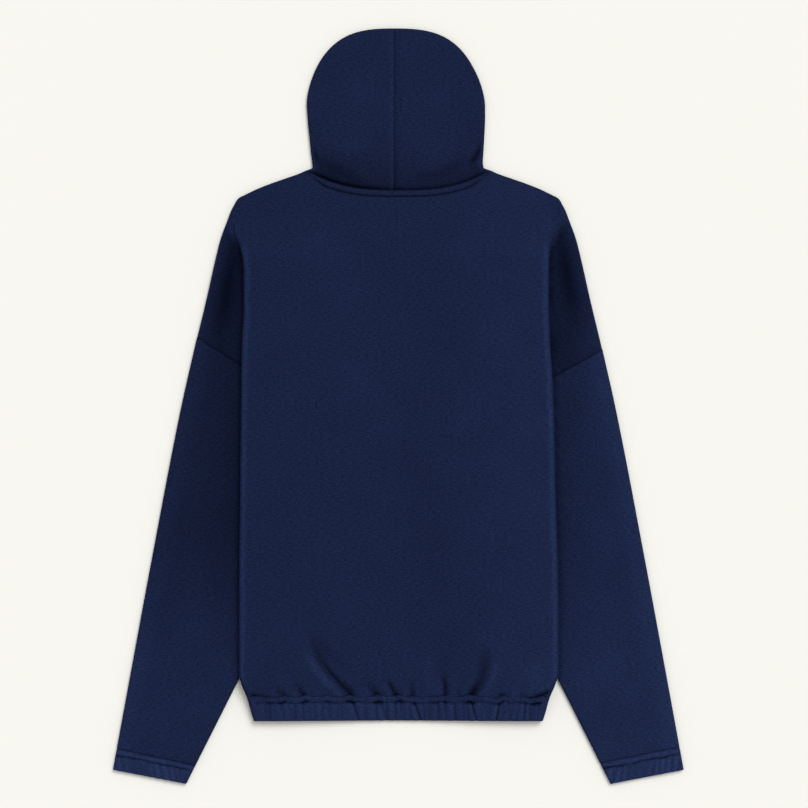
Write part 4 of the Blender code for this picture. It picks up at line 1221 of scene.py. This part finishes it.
def hoodUnder(start, share):
    # the hood's lower layer from a point of its outer edge, or of the front neckline, to the face opening
    endY = hood["faceTop"] + (hood["faceEnd"] - hood["faceTop"]) * share
    t = np.linspace(0, 1, hood["lowColumns"])
    out, y = start[0] + (float(faceEdge(endY)) - start[0]) * t, start[1] + (endY - start[1]) * t
    out = np.maximum(out, hood["gap"])
    height = slackAt(out, y) - cloth["pair"] + 0.9 * near(t - 1, 0.1)  # up at the face opening's folded edge
    return np.stack([out, y, height], axis=1)


def hoodOutline(k):
    if k <= sideFrom:
        angle = math.pi / 2 * (1 - k / sideFrom)
        c, s = max(0.0, math.cos(angle)), max(0.0, math.sin(angle))
        power = hood["sidePower"] + (hood["topPower"] - hood["sidePower"]) * s**2
        far = (c**power + s**power) ** (-1 / power)
        return hood["halfWidth"] * c * far, hood["domeY"] + hood["height"] * s * far
    y = hood["domeY"] + (neckPoint[1] - hood["domeY"]) * (k - sideFrom) / (neckAt - sideFrom)
    return float(hoodSide(y)), y


def hoodRow(k, point, away):
    # the upper layer from the centre seam to the outline, and the roll round its edge
    rim = point - away * edgeInset
    rim[0] = max(rim[0], hood["gap"])
    downSide = max(0.0, (k - sideFrom) / (neckAt - sideFrom))
    heartY = hood["heartY"] + (neck["backY"] + cloth["gap"] - hood["heartY"]) * downSide
    t = np.linspace(0, 1, hood["columns"] + 1)
    out = hood["gap"] + (rim[0] - hood["gap"]) * t
    y = heartY + (rim[1] - heartY) * t
    if downSide > 0:  # the rows bend from straight to the neckline's curve
        neckOut, neckY = hoodNeck(backNeck, t)
        y = y + (neckY - neckY[0] - (neckY[-1] - neckY[0]) * t) * downSide**2
        y = y + (neckY[-1] - rim[1]) * t * downSide**6
        out = out + (neckOut * rim[0] / neckOut[-1] - out) * downSide**3
    out = np.maximum(out, hood["gap"])
    top = np.stack([out, y, slackAt(out, y) + cloth["pair"]], axis=1)
    bend = math.pi * np.arange(1, 8) / 8
    roll = top[-1] + np.stack([
        away[0] * cloth["pair"] * np.sin(bend), away[1] * cloth["pair"] * np.sin(bend),
        -cloth["pair"] * (1 - np.cos(bend))], axis=1)
    roll[:, 0] = np.maximum(roll[:, 0], hood["gap"])
    return top, roll


def hoodLooks(side, grid, onTop):
    # creases, the dip and ridge of the centre seam, and the painted shade and highlight
    x, y = grid[..., 0] * sides[side], grid[..., 1]
    ridge, look = hoodRidge[side], hoodLook
    fromSeam, fromNeck = np.abs(x), -neckDistance(x, y, backNeck)
    drawn = look["creases"] * strokes(x, y, hoodCreases[side]) * onTop
    lift = drawn + unevenLay("hood", x, y, sides[side]) * onTop
    lift += seamDip(fromSeam, look["seamDeep"], look["seamWide"]) * onTop
    lift += ridge["height"] * near(fromSeam - ridge["out"], ridge["wide"]) * onTop
    lift += seamDip(fromNeck, look["neckDeep"], look["neckWide"]) * onTop
    nearNeck = np.maximum(fromNeck, 0)
    toLeft = ease((20 - x) / 60) * (1 - ease((-x - 88) / 14))
    # painted shade towards the neck seam, deepest in the seam and on the left, and in and beside the creases
    shade = 1 - (look["lowDark"] + 0.1 * ease((-x - 10) / 70)) * near(nearNeck, look["lowWide"]) * onTop
    neckDark = (look["neckDark"] + 0.25 * toLeft) * near(nearNeck, look["neckDarkWide"] + toLeft)
    shade += look["creasePaintedShade"] * drawn - neckDark * onTop
    shade += strokes(x, y, hoodPaintedShading) * onTop
    shade -= look["seamDark"] * near(fromSeam, look["seamDarkWide"]) * onTop
    shade += look["lit"] * near(x - look["litX"], look["litWide"]) * onTop
    shade -= look["dim"] * near(x - look["dimX"], look["dimWide"]) * onTop
    return lift, np.maximum(shade, darkest)


def hoodPanel(side):
    ks = np.concatenate([
        np.linspace(0, sideFrom, hood["domeRows"] + 1),
        sideFrom + (neckAt - sideFrom) * np.arange(1, hood["sideRows"] + 1) / hood["sideRows"]])
    edge = np.array([hoodOutline(k) for k in ks])
    along = np.gradient(edge, axis=0)
    outward = np.stack([-along[:, 1], along[:, 0]], axis=1)
    outward /= np.linalg.norm(outward, axis=1, keepdims=True)
    outward[0], outward[-1] = (0, 1), (1, 0)
    rows = []
    for k, point, away in zip(ks, edge, outward):
        top, roll = hoodRow(k, point, away)
        rows.append(np.concatenate([top, roll, hoodUnder(top[-1][:2], k / frontAt)]))
    grid = np.array(rows)
    index = np.arange(grid.shape[1])
    onTop = ease((hood["columns"] + 1 - index) / 3.0) * (index <= hood["columns"])
    lift, shade = hoodLooks(side, grid, onTop)
    grid[..., 2] += lift
    # the lower layer goes on along the front neckline to the zip
    toFront = [grid[-1, -hood["lowColumns"] :]]
    for t in np.linspace(1, 0, hood["neckRows"] + 1)[1:]:
        start = [float(c) for c in hoodNeck(frontNeck, t)]
        toFront.append(hoodUnder(start, (frontAt - (frontAt - neckAt) * t) / frontAt))
    toFront = np.array(toFront)
    return [
        {"points": leaned(side, grid, index[None] < grid.shape[1] - hood["lowColumns"]),
         "uv": (grid[..., 0] * sides[side] * mm, grid[..., 1] * mm), "tone": shade},
        {"points": leaned(side, toFront, False),
         "uv": (toFront[..., 0] * sides[side] * mm, toFront[..., 1] * mm)},
    ]


print("making the hood")
for side in sides:
    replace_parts(clothPiece("hood" + side.capitalize(), hoodPanel(side)), "hood_" + side)
print("hood made")
zipLook = {
    "halfTape": 6.5, "tape": 1.0, "top": 197.5, "bottom": -366.5, "toothPitch": 1.5,
    "sliderTop": 200.5, "sliderBottom": 189, "plateIn": 1.4, "plateOut": 2.1,
    "axisY": 193.2, "axisZ": 1.724, "tilt": 2.6,
    "sharp": 45,  # degrees from which an edge shows
}
# foot on the tape, a narrow neck and a wider head that sits past the middle
tooth = ((3.0, -0.62), (3.0, 0.62), (1.6, 0.6), (0.5, 0.42), (-0.2, 0.62), (-0.95, 0.45), (-0.95, -0.45),
         (-0.2, -0.62), (0.5, -0.42), (1.6, -0.6))
toothRings = ((-1.0, 0.22), (-0.75, 0.0), (0.75, 0.0), (1.0, 0.22))


def zipHeight(y):
    lifted = bump(np.abs(np.asarray(y, float) - neck["liftY"]) / neck["liftLong"])
    return slackAt(neck["frontEdge"], y) - cloth["pair"] - 0.2 - 0.6 * lifted


def solidPiece(name, work, material, rideOn="garment", edge=0.0):
    bmesh.ops.recalc_face_normals(work, faces=work.faces)
    for vert in work.verts:
        vert.co *= mm
    mesh = bpy.data.meshes.new(name)
    work.to_mesh(mesh)
    work.free()
    mesh.shade_smooth()
    mesh.set_sharp_from_angle(angle=math.radians(zipLook["sharp"]))
    piece = keepPiece(name, mesh, material, rideOn)
    if edge:
        roundEdges(piece, edge, 2)
    return piece


def joinLoops(work, loops):
    # faces from each loop of points to the next
    for low, high in zip(loops, loops[1:]):
        for k in range(len(low)):
            n = (k + 1) % len(low)
            work.faces.new((low[k], low[n], high[n], high[k]))


def closeEnds(work, loops):
    work.faces.new(loops[0][::-1])
    work.faces.new(loops[-1])


def addPrism(work, outline, rings):
    # an outline drawn at several heights; rings are (height, inset towards the outline's middle)
    middle = [sum(p[i] for p in outline) / len(outline) for i in (0, 1)]
    loops = []
    for height, inset in rings:
        loop = []
        for x, y in outline:
            dx, dy = x - middle[0], y - middle[1]
            far = math.hypot(dx, dy)
            loop.append(work.verts.new((x - dx / far * inset, y - dy / far * inset, height)))
        loops.append(loop)
    joinLoops(work, loops)
    closeEnds(work, loops)


print("making the zip")
xs = np.linspace(-zipLook["halfTape"], zipLook["halfTape"], 14)
ys = np.linspace(zipLook["top"], zipLook["bottom"], 160)
tapeX, tapeY = np.meshgrid(xs, ys)
tapeZ = zipHeight(tapeY) + 0.12 * np.cos(tapeX * 2.1)
tapeGrid = np.stack([tapeX, tapeY, tapeZ], axis=-1)
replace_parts(clothPiece("zipTape", [{"points": tapeGrid}], tapeCloth, zipLook["tape"]), "zip_tape")

teeth = bmesh.new()
for k in range(int((zipLook["top"] - zipLook["bottom"]) / zipLook["toothPitch"])):
    y = zipLook["top"] - (k + 0.5) * zipLook["toothPitch"]
    z, sign = float(zipHeight(y)), 1 if k % 2 else -1
    addPrism(teeth, [(sign * px, y + py) for px, py in tooth], [(z + dz, inset) for dz, inset in toothRings])
solidPiece("zipTeeth", teeth, teethPlastic)

chainZ = float(zipHeight((zipLook["sliderTop"] + zipLook["sliderBottom"]) / 2))
slider = bmesh.new()
top, bottom = zipLook["sliderTop"], zipLook["sliderBottom"]
shield = [
    (-2.9, bottom), (2.9, bottom), (3.6, bottom + 1.6), (4.3, bottom + 4.5), (4.5, bottom + 7.5),
    (4.3, top - 1.2), (3.3, top - 0.2), (1.4, top), (-1.4, top), (-3.3, top - 0.2), (-4.3, top - 1.2),
    (-4.5, bottom + 7.5), (-4.3, bottom + 4.5), (-3.6, bottom + 1.6),
]
plateIn, plateOut = zipLook["plateIn"], zipLook["plateOut"]
for low, high in ((chainZ + plateIn, chainZ + plateOut), (chainZ - plateOut, chainZ - plateIn)):
    addPrism(slider, shield, [(low, 0.25), (low + 0.15, 0.0), (high - 0.15, 0.0), (high, 0.25)])
post = [(-1.2, top - 0.1), (1.2, top - 0.1), (0.9, top - 1.6), (0.0, top - 2.6), (-0.9, top - 1.6)]
addPrism(slider, post, [(chainZ - 1.6, 0.0), (chainZ + 1.6, 0.0)])
for sign in (-1, 1):  # flanges that turn in along the sides
    for low, high in ((chainZ + 0.75, chainZ + 1.6), (chainZ - 1.6, chainZ - 0.75)):
        flange = [
            (sign * 3.1, bottom + 0.5), (sign * 3.7, bottom + 1.0), (sign * 4.35, bottom + 4.5),
            (sign * 4.45, bottom + 7.0), (sign * 3.9, bottom + 7.2), (sign * 3.6, bottom + 4.5),
        ]
        addPrism(slider, flange, [(low, 0.1), (high, 0.0)])
# the bridge that holds the pull, seen from the side: y, and z from the lower plate's outer face
bridge = (
    (198.0, 0.0), (198.0, -1.0), (197.4, -1.75), (196.4, -2.1), (192.6, -2.1), (191.6, -1.75), (191.0, -1.0),
    (191.0, 0.0), (192.2, 0.0), (192.3, -0.95), (192.7, -1.35), (196.3, -1.35), (196.7, -0.95), (196.8, 0.0),
)
left, right = ([slider.verts.new((x, y, chainZ - plateOut + z)) for y, z in bridge] for x in (-1.0, 1.0))
joinLoops(slider, [right, left])
closeEnds(slider, [right, left])
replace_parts(solidPiece("zipSlider", slider, nickel, edge=0.12), "zip_slider")

pullLook = {
    "points": 48,
    "outer": {"middle": 12.25, "half": (3.4, 12.75)},
    "inner": {"middle": 3.35, "half": (2.0, 2.85)},
    # which outline, the height, and how far it is drawn in
    "levels": (
        ("outer", -0.45, 0.25), ("outer", -0.25, 0.0), ("outer", 0.25, 0.0), ("outer", 0.45, 0.25),
        ("outer", 0.45, 0.75), ("outer", 0.33, 0.95), ("inner", 0.33, -0.2), ("inner", 0.2, 0.0),
        ("inner", -0.2, 0.0), ("inner", -0.33, -0.2), ("outer", -0.33, 0.95), ("outer", -0.45, 0.75),
    ),
}


def pullPoint(which, k):
    # a squared oval; the outer one widens away from the hinge and is cut off flat at it
    look, power = pullLook[which], {"outer": 5, "inner": 4}[which]
    angle = 2 * math.pi * k / pullLook["points"]
    c, s = math.cos(angle), math.sin(angle)
    squared = (abs(c) ** power + abs(s) ** power) ** (-1 / power)
    y = look["middle"] + look["half"][1] * -c * squared
    if which == "inner":
        return look["half"][0] * s * squared, y
    return (2.75 + 0.65 * ease(y / 14)) * s * squared, max(y, -0.5)


def onPull(x, y, z):
    # the pull's own frame is on its hinge, and it lies towards the hem
    tilt = math.radians(zipLook["tilt"])
    return x, zipLook["axisY"] - y * math.cos(tilt), zipLook["axisZ"] - y * math.sin(tilt) + z


pull = bmesh.new()
loops = []
for which, z, inset in pullLook["levels"]:
    middle, (halfX, halfY) = pullLook[which]["middle"], pullLook[which]["half"]
    loop = []
    for k in range(pullLook["points"]):
        x, y = pullPoint(which, k)
        loop.append(pull.verts.new(onPull(x * (1 - inset / halfX), y - (y - middle) * inset / halfY, z)))
    loops.append(loop)
joinLoops(pull, loops + loops[:1])
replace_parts(solidPiece("zipPull", pull, nickel, rideOn="pull"), "zip_pull")

box = bmesh.new()
boxOutline = [
    (-4.2, -375.6), (-3.6, -376), (3.6, -376), (4.2, -375.6), (4.2, -367.2), (3.8, -366.8), (-3.8, -366.8),
    (-4.2, -367.2),
]
addPrism(box, boxOutline, [(0.1, 0.3), (0.35, 0.0), (2.35, 0.0), (2.6, 0.3)])
for x in (-1.9, 1.9):  # the pressed ribs over the two pins
    rib = [(x - 0.7, -375), (x + 0.7, -375), (x + 0.7, -367.8), (x - 0.7, -367.8)]
    addPrism(box, rib, [(0.0, 0.25), (0.12, 0.0), (2.5, 0.0), (2.72, 0.25)])
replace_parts(solidPiece("zipBox", box, nickel, edge=0.15), "zip_box")
print("zip made")

stitch = {
    "long": 3.1, "gap": 0.9, "radius": 0.24, "sides": 6,
    "sink": 0.12,  # into the nap
    "dive": 0.45,  # deeper at both ends
    "rings": (0.0, 0.15, 0.5, 0.85, 1.0),
}


def surfaceFinder(piece, fromAbove):
    held = piece.evaluated_get(bpy.context.evaluated_depsgraph_get())
    startZ, way = (0.06, -1) if fromAbove else (-0.02, 1)

    def at(x, y):
        found, place = held.ray_cast(Vector((x * mm, y * mm, startZ)), Vector((0, 0, way)))[:2]
        return place.z / mm if found else None

    return at


def sewAlong(name, lines, piece, fromAbove=True):
    # a row of lockstitches: each one lies on the cloth and dives into it at both ends
    at, up = surfaceFinder(piece, fromAbove), 1 if fromAbove else -1
    work = bmesh.new()
    turns = [2 * math.pi * k / stitch["sides"] for k in range(stitch["sides"])]
    for line in lines:
        lengths = np.concatenate([[0], np.cumsum(np.hypot(*np.diff(line, axis=0).T))])

        def pointAt(distance):
            return np.array([np.interp(distance, lengths, line[:, i]) for i in (0, 1)])

        start = stitch["gap"]
        while start + stitch["long"] < lengths[-1]:
            rings = []
            for share in stitch["rings"]:
                distance = start + stitch["long"] * share
                x, y = pointAt(distance)
                z = at(x, y)
                if z is None:
                    break
                dx, dy = pointAt(distance + 0.2) - pointAt(distance - 0.2)
                far = math.hypot(dx, dy) or 1.0
                across = np.array([-dy / far, dx / far, 0.0])
                middle = math.sin(math.pi * share)
                radius = stitch["radius"] * (0.35 + 0.65 * middle)
                centre = np.array([x, y, z - up * (stitch["sink"] + stitch["dive"] * (1 - middle))])
                rings.append([centre + across * radius * math.cos(a) + np.array([0, 0, radius * math.sin(a)])
                              for a in turns])
            if len(rings) == len(stitch["rings"]):
                loops = [[work.verts.new(point) for point in ring] for ring in rings]
                joinLoops(work, loops)
                closeEnds(work, loops)
            start += stitch["long"] + stitch["gap"]
    solidPiece(name, work, thread)


print("sewing")
t = np.linspace(0.02, 0.9, 120)
neckOut, neckY = backNeck(t)
slope = np.gradient(neckY, neckOut)
drop = neckBand(neckOut) / np.sqrt(1 + slope**2)
right = np.stack([neckOut + drop * slope / np.sqrt(1 + slope**2), neckY - drop], axis=1)
mirrored = np.array([-1, 1])
sewAlong("neckStitches", [np.concatenate([(right * mirrored)[::-1], right])], pieces["backPanel"])

xs = np.linspace(-166, 166, 240)
lineY = hemLook["top"] - hemLook["casing"] + casingWave(xs)
hemY = lineY + hemWave(xs) * (1 - ease(hemLook["casing"] / 26.0))
sewAlong("hemStitches", [np.stack([xs, hemY], axis=1)], pieces["hemBand"])
under = np.stack([np.linspace(-166, -10, 100), np.full(100, -354.9)], axis=1)
sewAlong("hemStitchesUnder", [under, under * mirrored], pieces["hemBand"], fromAbove=False)
for side, sign in sides.items():
    called, joint = side.capitalize(), cuffSeam[side]
    share = cuffLook["casing"] / cuffLook["long"]
    outerY = joint["outerY"] + (cuffEdge["outerY"] - joint["outerY"]) * share
    inY = joint["inY"] + (cuffEdge["inY"] - joint["inY"]) * share
    ends = np.array([[float(armOuter(outerY)) - 3, outerY], [float(innerEdge(side, inY)) + 3, inY]])
    line = (ends[0] + (ends[1] - ends[0]) * np.linspace(0, 1, 40)[:, None]) * np.array([sign, 1])
    sewAlong("cuffStitches" + called, [line], pieces["cuff" + called])
    sewAlong("cuffStitchesUnder" + called, [line], pieces["cuff" + called], fromAbove=False)
    zipSide = np.stack([np.full(200, sign * (neck["frontEdge"] + 5.5)), np.linspace(208, -345, 200)], axis=1)
    sewAlong("zipStitches" + called, [zipSide], pieces["front" + called], fromAbove=False)
print("stitches made")


def paintedBoard(name):
    # Matt painted board: almost no gloss and the least unevenness of a roller's stipple.
    material, tree = startMaterial(name)
    where = node(tree, "TexCoord").outputs["Object"]
    stipple = node(tree, "TexNoise", {"Vector": where, "Scale": 300.0, "Detail": 2.0})
    base = node(tree, "Mix", {
        0: stipple.outputs[0], 6: tone("#F6F5F0"), 7: tone("#F8F7F2")}, data_type="RGBA")
    return finished(material, {"Base Color": base.outputs[2], "Roughness": 1.0, "Specular IOR Level": 0.0})


stage = {
    "floor": 12.0,  # metres either way
    "floorZ": -0.0002,
    "sky": "#FFFEFB", "skyStrength": 0.565,
    "key": 1.8, "keyAngle": 34, "keyTilt": 38, "keyFrom": 55,
    "lens": 100, "sensor": 36,
    "wide": 969.6,  # mm across the picture at the height of the cloth
    "cameraX": 6.8, "cameraY": 2.4, "clothTop": 3,
}
floorWork = bmesh.new()
bmesh.ops.create_grid(floorWork, x_segments=4, y_segments=4, size=stage["floor"])
floorMesh = bpy.data.meshes.new("floor")
floorWork.to_mesh(floorMesh)
floorWork.free()
floorMesh.materials.append(paintedBoard("matt painted board"))
floor = bpy.data.objects.new("floor", floorMesh)
floor.location.z = stage["floorZ"]
bpy.context.scene.collection.objects.link(floor)

world = bpy.data.worlds.new("studio")
world.use_nodes = True
sky = world.node_tree.nodes["Background"].inputs
sky[0].default_value, sky[1].default_value = tone(stage["sky"]), stage["skyStrength"]
bpy.context.scene.world = world
keyData = bpy.data.lights.new("softbox", "SUN")
keyData.energy = stage["key"]
keyData.angle = math.radians(stage["keyAngle"])
key = bpy.data.objects.new("softbox", keyData)
lean, turnTo = math.radians(stage["keyTilt"]), math.radians(stage["keyFrom"])
towards = Vector((math.sin(lean) * math.cos(turnTo), math.sin(lean) * math.sin(turnTo), math.cos(lean)))
key.rotation_mode = "QUATERNION"
key.rotation_quaternion = towards.to_track_quat("Z", "Y")
bpy.context.scene.collection.objects.link(key)

cameraData = bpy.data.cameras.new("camera")
cameraData.lens = stage["lens"]
cameraData.sensor_width = stage["sensor"]
cameraData.clip_end = 50
camera = bpy.data.objects.new("camera", cameraData)
height = stage["wide"] * stage["lens"] / stage["sensor"] + stage["clothTop"]
camera.location = (stage["cameraX"] * mm, stage["cameraY"] * mm, height * mm)
bpy.context.scene.collection.objects.link(camera)
bpy.context.scene.camera = camera
bpy.context.scene.view_settings.view_transform = "Standard"
bpy.context.scene.view_settings.look = "None"
print("stage ready")
